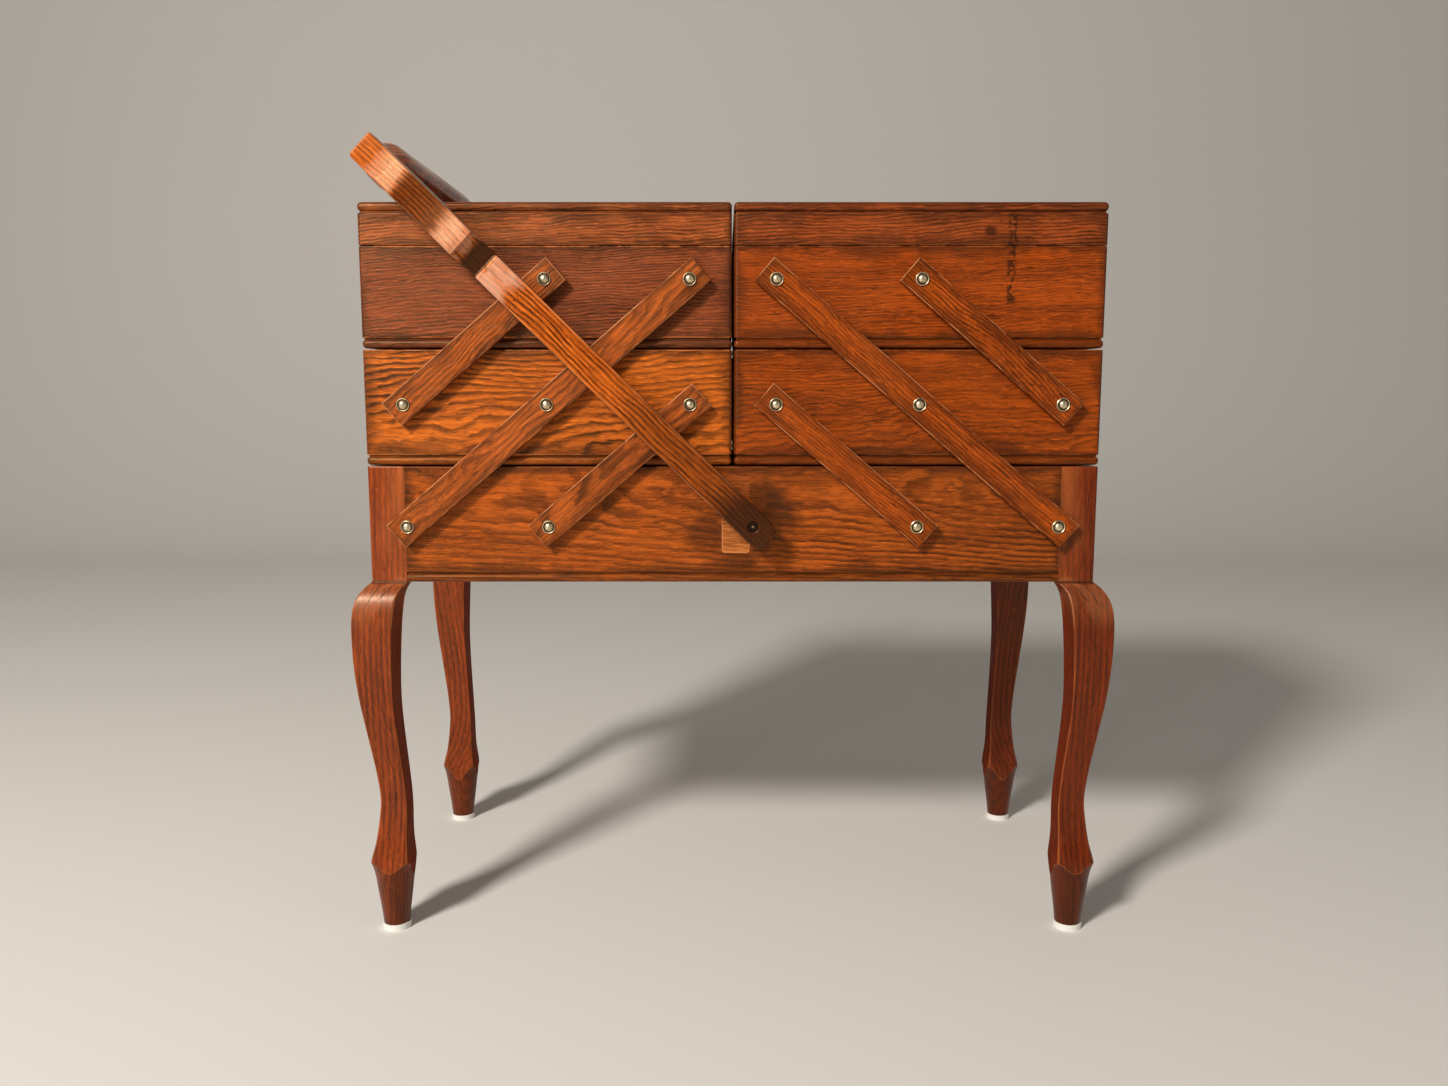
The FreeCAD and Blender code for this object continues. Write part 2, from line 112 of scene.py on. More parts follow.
# %% [markdown]
# The stage and the light
#
# A pale sheet runs along the floor and curves up behind the box, as in a product studio. A soft lamp
# stands high on the left, because the shadows of the strips fall down and to the right. A weak one lower
# on the left lights the undersides, as a window does, and a wide one fills from the right. The world adds
# an even pale light, so that colours render about as they are written.


# %% Studio
def srgb(red, green, blue):
    """A colour given as 0 to 255, as the linear values that shaders expect."""
    linear = []
    for value in (red, green, blue):
        share = value / 255
        linear.append(share / 12.92 if share <= 0.04045 else ((share + 0.055) / 1.055) ** 2.4)
    return (*linear, 1.0)


def object_from(name, shape):
    """Turns a finished bmesh into an object at the origin."""
    mesh = bpy.data.meshes.new(name)
    shape.to_mesh(mesh)
    shape.free()
    made = bpy.data.objects.new(name, mesh)
    bpy.context.scene.collection.objects.link(made)
    return made


def studio_sheet(half_width=4.0, front=-4.0, bend_start=1.5, bend_radius=0.7, top=3.5, steps=16):
    """One edge on the floor, run back, bent up through a quarter turn and run up."""
    shape = bmesh.new()
    ends = [shape.verts.new((side * half_width, front, 0)) for side in (-1, 1)]
    edge = shape.edges.new(ends)
    floor = bmesh.ops.extrude_edge_only(shape, edges=[edge])["geom"]
    back_verts = [part for part in floor if isinstance(part, bmesh.types.BMVert)]
    bmesh.ops.translate(shape, verts=back_verts, vec=(0, bend_start - front, 0))
    back_edge = [part for part in floor if isinstance(part, bmesh.types.BMEdge)
                 and all(vert in back_verts for vert in part.verts)]
    turned = bmesh.ops.spin(
        shape, geom=back_verts + back_edge, cent=(0, bend_start, bend_radius), axis=(1, 0, 0),
        angle=math.radians(90), steps=steps, use_merge=False)["geom_last"]
    wall = bmesh.ops.extrude_edge_only(
        shape, edges=[part for part in turned if isinstance(part, bmesh.types.BMEdge)])["geom"]
    wall_verts = [part for part in wall if isinstance(part, bmesh.types.BMVert)]
    bmesh.ops.translate(shape, verts=wall_verts, vec=(0, 0, top))
    bmesh.ops.recalc_face_normals(shape, faces=shape.faces)
    for face in shape.faces:
        face.smooth = True
    return object_from("studio_sheet", shape)


sheet = studio_sheet()
sheet_material = bpy.data.materials.new("studio_paper")
sheet_material.use_nodes = True
sheet_shader = sheet_material.node_tree.nodes["Principled BSDF"]
sheet_shader.inputs["Base Color"].default_value = srgb(214, 208, 200)
sheet_shader.inputs["Roughness"].default_value = 0.75
sheet.data.materials.append(sheet_material)
print("studio sheet:", len(sheet.data.polygons), "faces")


def area_lamp(name, place, target, size, watts, colour=(1, 1, 1)):
    data = bpy.data.lights.new(name, "AREA")
    data.shape = "DISK"
    data.size = size
    data.energy = watts
    data.color = colour
    lamp = bpy.data.objects.new(name, data)
    lamp.location = place
    lamp.rotation_euler = (Vector(target) - Vector(place)).to_track_quat("-Z", "Y").to_euler()
    bpy.context.scene.collection.objects.link(lamp)
    return lamp


box_middle = (cad_low + cad_high) / 2
area_lamp("key_lamp", (-1.15, -1.7, 1.65), box_middle, size=0.42, watts=67, colour=(1.0, 0.97, 0.93))
area_lamp("window_lamp", (-1.1, -1.7, 0.9), box_middle, size=0.5, watts=6)
area_lamp("fill_lamp", (1.8, -1.6, 0.9), box_middle, size=1.4, watts=3)

world = bpy.data.worlds.new("studio")
bpy.context.scene.world = world
world.use_nodes = True
background = world.node_tree.nodes["Background"]
background.inputs["Color"].default_value = (0.95, 0.94, 0.92, 1)
background.inputs["Strength"].default_value = 0.22
bpy.context.scene.view_settings.view_transform = "Standard"

# %% [markdown]
# Building shaders with short calls
#
# Every finish is a node tree. A few small helpers keep the trees readable: one adds a node and fills
# its sockets, the others add a math node, a soft step, a mix or a noise and hand back its result. A mask
# is a value from 0 to 1 that says how strongly a mark shows at each point.


# %% Shader helpers
def put(tree, kind, inputs=None, **settings):
    """Adds a node. inputs maps a socket's name or number to a value or to the socket that feeds it."""
    made = tree.nodes.new(kind)
    for name, value in settings.items():
        setattr(made, name, value)
    for name, value in (inputs or {}).items():
        if isinstance(value, bpy.types.NodeSocket):
            tree.links.new(value, made.inputs[name])
        else:
            made.inputs[name].default_value = value
    return made


def maths(tree, operation, first, second=0.5, third=0.0, clamp=False):
    inputs = {0: first, 1: second, 2: third}
    return put(tree, "ShaderNodeMath", inputs, operation=operation, use_clamp=clamp).outputs[0]


def vector_maths(tree, operation, first, second=(0, 0, 0)):
    return put(tree, "ShaderNodeVectorMath", {0: first, 1: second}, operation=operation).outputs[0]


def vector_of(tree, x=0.0, y=0.0, z=0.0):
    return put(tree, "ShaderNodeCombineXYZ", {0: x, 1: y, 2: z}).outputs[0]


def parts_of(tree, vector):
    return put(tree, "ShaderNodeSeparateXYZ", {0: vector}).outputs


def length_of(tree, vector):
    return put(tree, "ShaderNodeVectorMath", {0: vector}, operation="LENGTH").outputs["Value"]


def apart(tree, value, place):
    """How far a value is from a place, to either side."""
    return maths(tree, "ABSOLUTE", maths(tree, "SUBTRACT", value, place))


def ramp(tree, value, low, high, to_low=0.0, to_high=1.0):
    """A soft step: value between low and high becomes to_low to to_high, with eased ends."""
    inputs = {"Value": value, "From Min": low, "From Max": high, "To Min": to_low, "To Max": to_high}
    return put(tree, "ShaderNodeMapRange", inputs, interpolation_type="SMOOTHSTEP").outputs[0]


def window(tree, value, low, high, soft_low, soft_high, strength=1.0):
    """Strength between low and high, fading to nothing over the soft distances outside them."""
    rise = ramp(tree, value, low - soft_low, low)
    fall = ramp(tree, value, high + soft_high, high, 0.0, strength)
    return maths(tree, "MULTIPLY", rise, fall)


def strongest(tree, masks):
    """The highest of several masks at each point."""
    highest = masks[0]
    for mask in masks[1:]:
        highest = maths(tree, "MAXIMUM", highest, mask)
    return highest


def mix_colour(tree, share, first, second, blend="MIX"):
    node = put(tree, "ShaderNodeMix", {0: share, 6: first, 7: second}, data_type="RGBA", blend_type=blend)
    return node.outputs[2]


def noise(tree, point, stretch, detail=2.0, roughness=0.5):
    """Noise over a point in millimetres. stretch is how many features a millimetre holds each way."""
    scaled = vector_maths(tree, "MULTIPLY", point, stretch)
    inputs = {"Vector": scaled, "Scale": 1.0, "Detail": detail, "Roughness": roughness}
    return put(tree, "ShaderNodeTexNoise", inputs).outputs[0]


def sway(tree, value, reach, base=0.0):
    """Lets a noise swing a base to both sides, by half the reach at the most."""
    return maths(tree, "MULTIPLY_ADD", maths(tree, "SUBTRACT", value, 0.5), reach, base)


def attribute(tree, name, output="Fac"):
    return put(tree, "ShaderNodeAttribute", attribute_name=name).outputs[output]


def new_group(name, inputs, outputs):
    """A node group whose sockets are given as {name: (socket type, default)} and {name: socket type}."""
    tree = bpy.data.node_groups.new(name, "ShaderNodeTree")
    for label, (kind, default) in inputs.items():
        socket = tree.interface.new_socket(label, in_out="INPUT", socket_type=kind)
        socket.default_value = default
    for label, kind in outputs.items():
        tree.interface.new_socket(label, in_out="OUTPUT", socket_type=kind)
    return tree, tree.nodes.new("NodeGroupInput").outputs, tree.nodes.new("NodeGroupOutput").inputs


# %% [markdown]
# Oak
#
# Oak shows several things at once: growth rings, which a board cuts as long lines, broad soft bands of
# lighter and darker wood, short dark pores that look like dashes, and pale flecks where rays come to the
# surface. The rings are circles about a pith that lies outside the board and runs almost along it, so
# faces, edges and ends all show the right cut. Slow noise bends them first, so that they wander as real
# ones do, and another noise breaks them off. The group works in millimetres with the grain along X, so
# each board only has to turn its own coordinates to suit.

# %% Oak group
FLOAT, VECTOR, COLOUR = "NodeSocketFloat", "NodeSocketVector", "NodeSocketColor"
NEARLY_BLACK = (0.004, 0.0015, 0.0008, 1)
FLECK_TINT = (1.3, 1.35, 1.5, 1)
SEED_SHIFT = (371.3, 113.7, 71.9)
# Where the tree's pith passes a board, in millimetres, and how far it drifts for each millimetre along it
PITH = (0, -210, 290)
PITH_TILT = (0, 0.035, 0.02)


def oak_group():
    tree, given, result = new_group(
        "oak_grain",
        {
            "Point": (VECTOR, (0, 0, 0)),
            "Light": (COLOUR, srgb(200, 104, 40)),
            "Middle": (COLOUR, srgb(160, 76, 26)),
            "Dark": (COLOUR, srgb(90, 38, 12)),
            "Figure": (FLOAT, 0.8),
            "Pores": (FLOAT, 0.6),
            "Wander": (FLOAT, 8.0),
            "Ring width": (FLOAT, 1.5),
            "Seed": (FLOAT, 0.0),
        },
        {"Colour": COLOUR, "Height": FLOAT},
    )
    seed = vector_of(tree, given["Seed"], given["Seed"], given["Seed"])
    point = vector_maths(tree, "ADD", given["Point"], vector_maths(tree, "MULTIPLY", seed, SEED_SHIFT))
    wave = sway(tree, noise(tree, point, (0.009, 0.018, 0.018)), given["Wander"])
    ripple = sway(tree, noise(tree, point, (0.045, 0.08, 0.08), 1.0), 1.8)
    ripple = sway(tree, noise(tree, point, (0.16, 0.3, 0.3), 1.0), 0.8, ripple)
    bend = maths(tree, "ADD", wave, ripple)
    offset = vector_of(tree, 0.0, bend, bend)
    bent = vector_maths(tree, "ADD", point, offset)
    own = vector_maths(tree, "ADD", given["Point"], offset)

    along = parts_of(tree, own)[0]
    centre = vector_maths(tree, "MULTIPLY_ADD", vector_of(tree, along, along, along), PITH_TILT)
    centre.node.inputs[2].default_value = PITH
    across = vector_maths(tree, "MULTIPLY", vector_maths(tree, "SUBTRACT", own, centre), (0, 1, 1))
    wedge = maths(tree, "FRACT", maths(tree, "DIVIDE", length_of(tree, across), given["Ring width"]))
    ring = maths(tree, "MULTIPLY", ramp(tree, wedge, 0.2, 0.75), ramp(tree, wedge, 1.0, 0.86))

    bands = ramp(tree, noise(tree, bent, (0.006, 0.05, 0.05), 2.0), 0.34, 0.66)
    streaks = ramp(tree, noise(tree, bent, (0.02, 0.45, 0.45), 3.0, 0.6), 0.40, 0.60)
    fine = ramp(tree, noise(tree, bent, (0.05, 1.5, 1.5), 2.0, 0.6), 0.40, 0.60)
    tone = maths(tree, "MULTIPLY_ADD", streaks, 0.35, maths(tree, "MULTIPLY", bands, 0.3))
    tone = maths(tree, "MULTIPLY_ADD", fine, 0.35, tone)
    wood = mix_colour(tree, tone, given["Middle"], given["Light"])
    flecks = ramp(tree, noise(tree, bent, (0.13, 1.5, 1.5), 1.0), 0.60, 0.70, 0.0, 0.6)
    pale = mix_colour(tree, 1.0, given["Light"], FLECK_TINT, "MULTIPLY")
    wood = mix_colour(tree, flecks, wood, pale)

    kept = ramp(tree, noise(tree, bent, (0.035, 0.40, 0.40), 2.0, 0.6), 0.34, 0.56, 0.4, 1.0)
    strength = ramp(tree, noise(tree, bent, (0.008, 0.03, 0.03), 1.0), 0.35, 0.6, 0.6, 1.0)
    lines = maths(tree, "MULTIPLY", maths(tree, "MULTIPLY", ring, kept), strength)
    lines = maths(tree, "MULTIPLY", lines, given["Figure"], clamp=True)
    wood = mix_colour(tree, lines, wood, given["Dark"])

    pores = ramp(tree, noise(tree, bent, (0.10, 1.9, 1.9), 1.0), 0.58, 0.70)
    pores = maths(tree, "MULTIPLY", pores, given["Pores"], clamp=True)
    deep = mix_colour(tree, 0.4, given["Dark"], NEARLY_BLACK)
    wood = mix_colour(tree, pores, wood, deep)
    tree.links.new(wood, result["Colour"])
    raised = maths(tree, "MULTIPLY_ADD", lines, -0.5, maths(tree, "MULTIPLY", fine, 0.3))
    tree.links.new(maths(tree, "SUBTRACT", raised, pores), result["Height"])
    return tree


oak_grain = oak_group()
print("oak group:", len(oak_grain.nodes), "nodes")

# %% [markdown]
# Worn edges, and dust with painted shade beside them
#
# Years of use rub the varnish off every arris, so a thin broken line of bare pale wood runs along the
# edges, while dust and painted shade darken a soft band of each board close to its joints and edges. On a
# straight board both follow from the distance to the nearest edge. A point on a face is at distance zero
# from that face, so the middle one of its three distances to the board's faces is the distance to the edge.


# %% Edge group
def edge_group():
    tree, given, result = new_group(
        "board_edges",
        {
            "Point": (VECTOR, (0, 0, 0)),
            "Low": (VECTOR, (0, 0, 0)),
            "High": (VECTOR, (1, 1, 1)),
            "Wear width": (FLOAT, 0.9),
            "Seam width": (FLOAT, 7.0),
        },
        {"Wear": FLOAT, "Seam": FLOAT},
    )
    from_low = vector_maths(tree, "SUBTRACT", given["Point"], given["Low"])
    from_high = vector_maths(tree, "SUBTRACT", given["High"], given["Point"])
    nearest = vector_maths(tree, "MINIMUM", from_low, from_high)
    in_x, in_y, in_z = parts_of(tree, nearest)
    smaller = maths(tree, "MINIMUM", in_x, in_y)
    larger = maths(tree, "MAXIMUM", in_x, in_y)
    middle = maths(tree, "MAXIMUM", smaller, maths(tree, "MINIMUM", larger, in_z))
    patches = noise(tree, given["Point"], (0.06, 0.06, 0.06), 4.0, 0.65)
    width = maths(tree, "MULTIPLY", given["Wear width"], ramp(tree, patches, 0.36, 0.62, 0.35, 1.4))
    gap = maths(tree, "DIVIDE", middle, width)
    tree.links.new(ramp(tree, gap, 1.0, 0.3), result["Wear"])
    # Dust and painted shade: darker within a soft uneven band along every edge
    soft = noise(tree, given["Point"], (0.035, 0.035, 0.035), 3.0, 0.6)
    reach = maths(tree, "MULTIPLY", given["Seam width"], ramp(tree, soft, 0.35, 0.65, 0.35, 1.8))
    tree.links.new(ramp(tree, maths(tree, "DIVIDE", middle, reach), 1.0, 0.0), result["Seam"])
    return tree


board_edges = edge_group()
print("edge group:", len(board_edges.nodes), "nodes")

# %% [markdown]
# One finish, many boards
#
# Each board gets its own material, because each was cut from other wood and turned its own way. The
# function takes the piece's corners in the turned coordinates, so edges and grain line up with it.
# Carved pieces have no straight edges to measure from, so they bring an attribute that says how near a
# ridge is, and their grain reads another attribute that follows the bends.

# %% Varnished oak
GRAIN_X = (0, 0, 0)
GRAIN_Y = (0, 0, -90)
GRAIN_Z = (0, 90, 0)
BARE_WOOD = srgb(190, 104, 50)
PALE_WOOD = srgb(214, 142, 92)
# A dark brown for stains, cracks, dirt and grease, and for painted shade
STAIN_AND_SHADE_BROWN = srgb(38, 15, 6)
AMBER = (1.0, 0.66, 0.34, 1.0)
PALE_AMBER = (1.0, 0.74, 0.52, 1.0)
RELIEF_DEPTH = 0.15 * MM
# How much deeper than a pore a drying crack is
CRACK_DEPTH = 6.0


def turned_corners(obj, turn):
    """The lowest and highest corner of a piece in coordinates turned by those degrees, in millimetres."""
    matrix = Euler([math.radians(angle) for angle in turn]).to_matrix()
    points = [matrix @ vert.co for vert in obj.data.vertices]
    low = [min(point[axis] for point in points) / MM for axis in range(3)]
    high = [max(point[axis] for point in points) / MM for axis in range(3)]
    return low, high


def oak(name, obj, tone, turn=GRAIN_X, seed=0.0, figure=0.75, rings=1.4, wander=8.0, wear=0.6,
        wear_width=0.5, seam=0.6, gloss=0.34, shine=0.36, tint=AMBER, relief=0.35, bare=BARE_WOOD,
        marks=None, carved=False):
    """A satin varnished oak for one piece. tone gives the light, middle and dark colour of its grain.

    marks adds what is special to a piece, and gives back the colour and where it is cracked."""
    material = bpy.data.materials.new(name)
    material.use_nodes = True
    tree = material.node_tree
    shader = tree.nodes["Principled BSDF"]
    if carved:
        place = attribute(tree, "grain", "Vector")
    else:
        place = put(tree, "ShaderNodeTexCoord").outputs["Object"]
    angles = [math.radians(angle) for angle in turn]
    local = put(tree, "ShaderNodeMapping", {"Vector": place, "Rotation": angles}).outputs[0]
    point = vector_maths(tree, "MULTIPLY", local, (1 / MM, 1 / MM, 1 / MM))
    light, middle, dark = (srgb(*value) for value in tone)
    wood = put(tree, "ShaderNodeGroup", node_tree=oak_grain, inputs={
        "Point": point, "Light": light, "Middle": middle, "Dark": dark, "Figure": figure,
        "Wander": wander, "Ring width": rings, "Seed": seed}).outputs
    colour, height = wood["Colour"], wood["Height"]
    if carved:
        rub = noise(tree, point, (0.03, 0.12, 0.12), 3.0, 0.6)
        worn = maths(tree, "MULTIPLY", attribute(tree, "ridge"), ramp(tree, rub, 0.38, 0.62, 0.15, wear))
    else:
        low, high = turned_corners(obj, turn)
        edges = put(tree, "ShaderNodeGroup", node_tree=board_edges, inputs={
            "Point": point, "Low": low, "High": high, "Wear width": wear_width}).outputs
        worn = maths(tree, "MULTIPLY", edges["Wear"], wear)
        # Dust and painted shade darken the board close to its edges
        colour = mix_colour(tree, maths(tree, "MULTIPLY", edges["Seam"], seam), colour, STAIN_AND_SHADE_BROWN)
    colour = mix_colour(tree, worn, colour, bare)
    if marks:
        colour, cracks = marks(tree, colour, point)
        height = maths(tree, "MULTIPLY_ADD", cracks, -CRACK_DEPTH, height)
    tree.links.new(colour, shader.inputs["Base Color"])
    cloud = noise(tree, point, (0.02, 0.03, 0.03), 3.0, 0.6)
    sheen = ramp(tree, cloud, 0.3, 0.7, gloss - 0.05, gloss + 0.10)
    tree.links.new(maths(tree, "MULTIPLY_ADD", worn, 0.15, sheen), shader.inputs["Roughness"])
    bump = put(tree, "ShaderNodeBump", {"Strength": relief, "Distance": RELIEF_DEPTH, "Height": height})
    tree.links.new(bump.outputs[0], shader.inputs["Normal"])
    shader.inputs["Specular IOR Level"].default_value = shine
    shader.inputs["Specular Tint"].default_value = tint
    return material


def dress(obj, material):
    if not obj.material_slots:
        obj.data.materials.append(material)
    for holder in obj.material_slots:
        holder.material = material


# %% [markdown]
# Softening the boards' edges
#
# No edge on old joinery is a knife edge. A CAD node keeps its mesh, but it may carry modifiers: one
# welds its loose triangles together, the next makes each flat face whole, another rounds every edge
# sharper than forty degrees, and the last keeps the flat faces flat in the shading. Without whole faces,
# slivers beside the rivet holes would shade as dark lines. Each rounded edge catches its own light.

# %% Softened edges
# Points closer than this are one point, and faces that bend less than this are one face
TOUCHING = 0.01 * MM
FLAT = math.radians(0.5)


def soften(obj, radius, segments=2):
    weld = obj.modifiers.new("weld", "WELD")
    weld.merge_threshold = TOUCHING
    whole = obj.modifiers.new("whole_faces", "DECIMATE")
    whole.decimate_type = "DISSOLVE"
    whole.angle_limit = FLAT
    bevel = obj.modifiers.new("arris", "BEVEL")
    bevel.width = radius * MM
    bevel.segments = segments
    bevel.limit_method = "ANGLE"
    bevel.angle_limit = math.radians(40)
    normals = obj.modifiers.new("flat_faces", "WEIGHTED_NORMAL")
    normals.keep_sharp = True


# %% [markdown]
# The boards
#
# The two sides were never quite the same colour: the left mid tray has faded to orange, while the right
# trays are redder and the lids browner. The right side's tones are also darker, as painted shade where the
# light falls off. Every board has its own seed, so no two share a figure.

# %% Tones
LEFT_TOP = ((150, 72, 38), (96, 43, 22), (36, 13, 6))
LEFT_MID = ((204, 102, 28), (142, 62, 14), (46, 18, 4))
# The right side's tones, here and below, are darkened as painted shade for the light falling off to the
# right
RIGHT_TOP = ((170, 71, 14), (110, 42, 6), (38, 12, 2))
RIGHT_MID = ((164, 69, 11), (104, 40, 5), (36, 12, 2))
CASE = ((182, 85, 22), (116, 49, 10), (38, 13, 3))
LEFT_LID = ((182, 92, 42), (116, 54, 25), (38, 15, 6))
RIGHT_LID = ((160, 72, 28), (106, 45, 17), (36, 13, 4))
LEFT_STRIP = ((184, 88, 30), (116, 50, 15), (36, 13, 4))
RIGHT_STRIP = ((176, 76, 14), (110, 42, 7), (34, 11, 2))
LEFT_LEG = ((146, 58, 14), (100, 35, 6), (38, 12, 3))
RIGHT_LEG = ((120, 40, 4), (82, 24, 2), (32, 8, 1))
HANDLE = ((206, 100, 26), (140, 56, 9), (42, 14, 3))

# How strong the growth rings show, and how wide each is in millimetres
TRAY_FIGURE = {
    "left_mid": (0.95, 2.0), "left_top": (0.8, 1.4), "right_mid": (0.5, 1.2), "right_top": (0.45, 1.3)}
# The rims of the bottom boards take this share of their tone, as painted shade
RIM_SHADE = 0.8
SEED_STEP = 1.7
seeds = iter(range(1, 200))


def shaded(tone, share):
    return tuple(tuple(share * value for value in colour) for colour in tone)


def dress_board(name, tone, edge_radius=0.45, **finish):
    """Gives a straight piece its own oak, and edges rounded by a radius in millimetres."""
    dress(nodes[name], oak(name, nodes[name], tone, seed=SEED_STEP * next(seeds), **finish))
    soften(nodes[name], edge_radius)


# %% [markdown]
# Marks of use on the boards
#
# Three boards carry marks that belong to no other: the case's front board has a let-in patch, dirt and
# the painted shadow of the handle's foot round its pivot, and painted shade that darkens it towards the
# right, and the right top tray and its lid share a column of old specks and a knot. Each mark is a mask
# over X and Z, worked out from distances, so it stays sharp at any size. The patches of dirt and painted
# shadow get an uneven outline from a noise.

# %% Marks on the boards
case_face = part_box("case_front_board")[0].y / MM
# Dirt and the painted shadow of the handle's foot round its pivot: middle in X and Z, half width and half
# height, strength
PIVOT_DIRT_AND_SHADOW = [((20, 272), (26, 34), 0.75), ((-17, 261), (17, 20), 0.6), ((4, 243), (26, 8), 0.6)]
PATCH_MIDDLE, PATCH_HALF, PATCH_CORNER = (1.8, 271.5), (8.5, 24.5), 2.0
# The patch is brown over this height and tan under it, and its pale rim fades out over the other
PATCH_BROWN_FROM, PATCH_RIM_TO = 266.0, 262.0
PATCH_TAN, PATCH_LIGHT_TAN = srgb(136, 70, 28), srgb(184, 108, 54)
PATCH_BROWN, PATCH_LIGHT_BROWN = srgb(100, 44, 14), srgb(150, 72, 26)
SPECKS_X, SPECKS_LOWEST = 167.5, 394.0
KNOT_MIDDLE, KNOT_HALF = (154.4, 441.5), (4.5, 3.5)


def rounded_patch(tree, across, up, middle, half, corner):
    """How far a point lies outside a rectangle with round corners, in millimetres; less than 0 inside."""
    beyond = []
    for value, centre, size in ((across, middle[0], half[0]), (up, middle[1], half[1])):
        beyond.append(maths(tree, "SUBTRACT", apart(tree, value, centre), size - corner))
    outer = length_of(tree, vector_of(tree, *(maths(tree, "MAXIMUM", value, 0.0) for value in beyond)))
    inner = maths(tree, "MINIMUM", maths(tree, "MAXIMUM", *beyond), 0.0)
    return maths(tree, "SUBTRACT", maths(tree, "ADD", outer, inner), corner)


def blotch(tree, point, middle, half, strength):
    """A soft uneven dark patch about a middle in X and Z, as wide and high as its half sizes."""
    offset = vector_maths(tree, "SUBTRACT", point, (middle[0], 0, middle[1]))
    offset = vector_maths(tree, "MULTIPLY", offset, (1 / half[0], 0, 1 / half[1]))
    uneven = noise(tree, point, (0.05, 0.05, 0.08), 4.0, 0.6)
    away = sway(tree, uneven, 1.6, length_of(tree, offset))
    return ramp(tree, away, 1.0, 0.3, 0.0, strength)


def case_marks(tree, colour, point):
    """The let-in patch in the middle of the front board, dirt and the painted shadow of the handle's foot
    round the pivot, and painted shade towards the right.
    """
    x, y, z = parts_of(tree, point)
    front = ramp(tree, y, case_face + 2.0, case_face + 1.0)
    # Dirt with the painted shadow of the handle's foot, in patches round the pivot
    dirt_and_shade = [blotch(tree, point, *stain) for stain in PIVOT_DIRT_AND_SHADOW]
    # Painted shade: the board grows darker towards the right, away from the lamps
    dirt_and_shade.append(ramp(tree, x, 40.0, 200.0, 0.0, 0.28))
    colour = mix_colour(tree, maths(tree, "MULTIPLY", strongest(tree, dirt_and_shade), front), colour, STAIN_AND_SHADE_BROWN)
    away = rounded_patch(tree, x, z, PATCH_MIDDLE, PATCH_HALF, PATCH_CORNER)
    grain = ramp(tree, noise(tree, point, (0.10, 1.1, 1.1), 3.0, 0.6), 0.34, 0.66)
    tan = mix_colour(tree, grain, PATCH_TAN, PATCH_LIGHT_TAN)
    brown = mix_colour(tree, grain, PATCH_BROWN, PATCH_LIGHT_BROWN)
    patch = mix_colour(tree, ramp(tree, z, PATCH_BROWN_FROM, PATCH_BROWN_FROM + 3), tan, brown)
    colour = mix_colour(tree, maths(tree, "MULTIPLY", ramp(tree, away, 0.1, -0.1), front), colour, patch)
    rim = ramp(tree, apart(tree, away, -0.2), 0.4, 0.15, 0.0, 0.45)
    rim = maths(tree, "MULTIPLY", rim, ramp(tree, z, PATCH_RIM_TO + 10, PATCH_RIM_TO))
    return mix_colour(tree, maths(tree, "MULTIPLY", rim, front), colour, PALE_WOOD), 0.0


def ink_marks(tree, colour, point):
    """A column of old dark specks and a small knot on the right top tray and its lid."""
    x, _, z = parts_of(tree, point)
    specks = ramp(tree, noise(tree, point, (0.45, 0.45, 0.32), 2.0, 0.6), 0.46, 0.56, 0.0, 0.85)
    specks = maths(tree, "MULTIPLY", specks, ramp(tree, apart(tree, x, SPECKS_X), 3.6, 1.6))
    specks = maths(tree, "MULTIPLY", specks, ramp(tree, z, SPECKS_LOWEST, SPECKS_LOWEST + 8))
    knot = blotch(tree, point, KNOT_MIDDLE, KNOT_HALF, 0.8)
    return mix_colour(tree, strongest(tree, [specks, knot]), colour, STAIN_AND_SHADE_BROWN), 0.0


# %% [markdown]
# Dressing every board
#
# The grain runs along the front and rear boards and turns with the end boards. The rims of the bottom
# boards stand proud, so they are more worn and have hardly any dark band at their edges; their tone is a
# darker copy, which is painted shade. The left trays had more use than the right ones, so their edges are
# rubbed wider.

# %% Dress the boards
for side, tones in (("left", {"mid": LEFT_MID, "top": LEFT_TOP, "lid": LEFT_LID}),
                    ("right", {"mid": RIGHT_MID, "top": RIGHT_TOP, "lid": RIGHT_LID})):
    much_used = side == "left"
    for level in ("mid", "top"):
        figure, rings = TRAY_FIGURE[f"{side}_{level}"]
        worn_edges = {"figure": figure, "rings": rings, "wear_width": 0.8 if much_used else 0.5}
        tray, tone = f"{side}_{level}_tray_", tones[level]
        board_wear = 0.9 if much_used else 0.6
        marks = ink_marks if tray == "right_top_tray_" else None
        dress_board(tray + "front", tone, wear=board_wear, seam=0.65, marks=marks, **worn_edges)
        dress_board(tray + "rear", tone, wear=board_wear, seam=0.65, **worn_edges)
        dress_board(tray + "floor", shaded(tone, RIM_SHADE), wear=0.9, seam=0.2, **worn_edges)
        dress_board(tray + "ends", tone, turn=GRAIN_Y, wear=board_wear, seam=0.65, **worn_edges)
    marks = None if much_used else ink_marks
    dress_board(f"{side}_lid_frame", tones["lid"], rings=1.7, figure=0.85, marks=marks)
    dress_board(f"{side}_lid_top", tones["lid"], rings=1.7, figure=0.85)
dress_board("case_front_board", CASE, wear=0.25, seam=0.65, marks=case_marks)
dress_board("case_rear_board", CASE, wear=0.25, seam=0.65)
dress_board("case_bottom_board", shaded(CASE, RIM_SHADE), wear=0.9, seam=0.15)
for name in ("case_left_end", "case_right_end"):
    dress_board(name, CASE, turn=GRAIN_Y, wear=0.25, seam=0.65)
print("boards dressed:", len(bpy.data.materials), "materials so far")

# %% [markdown]
# The strips
#
# Each strip is a flat bar between two rivets, so its grain and its edges follow the slope between its
# pivots. That slope comes from the joints of the frame.


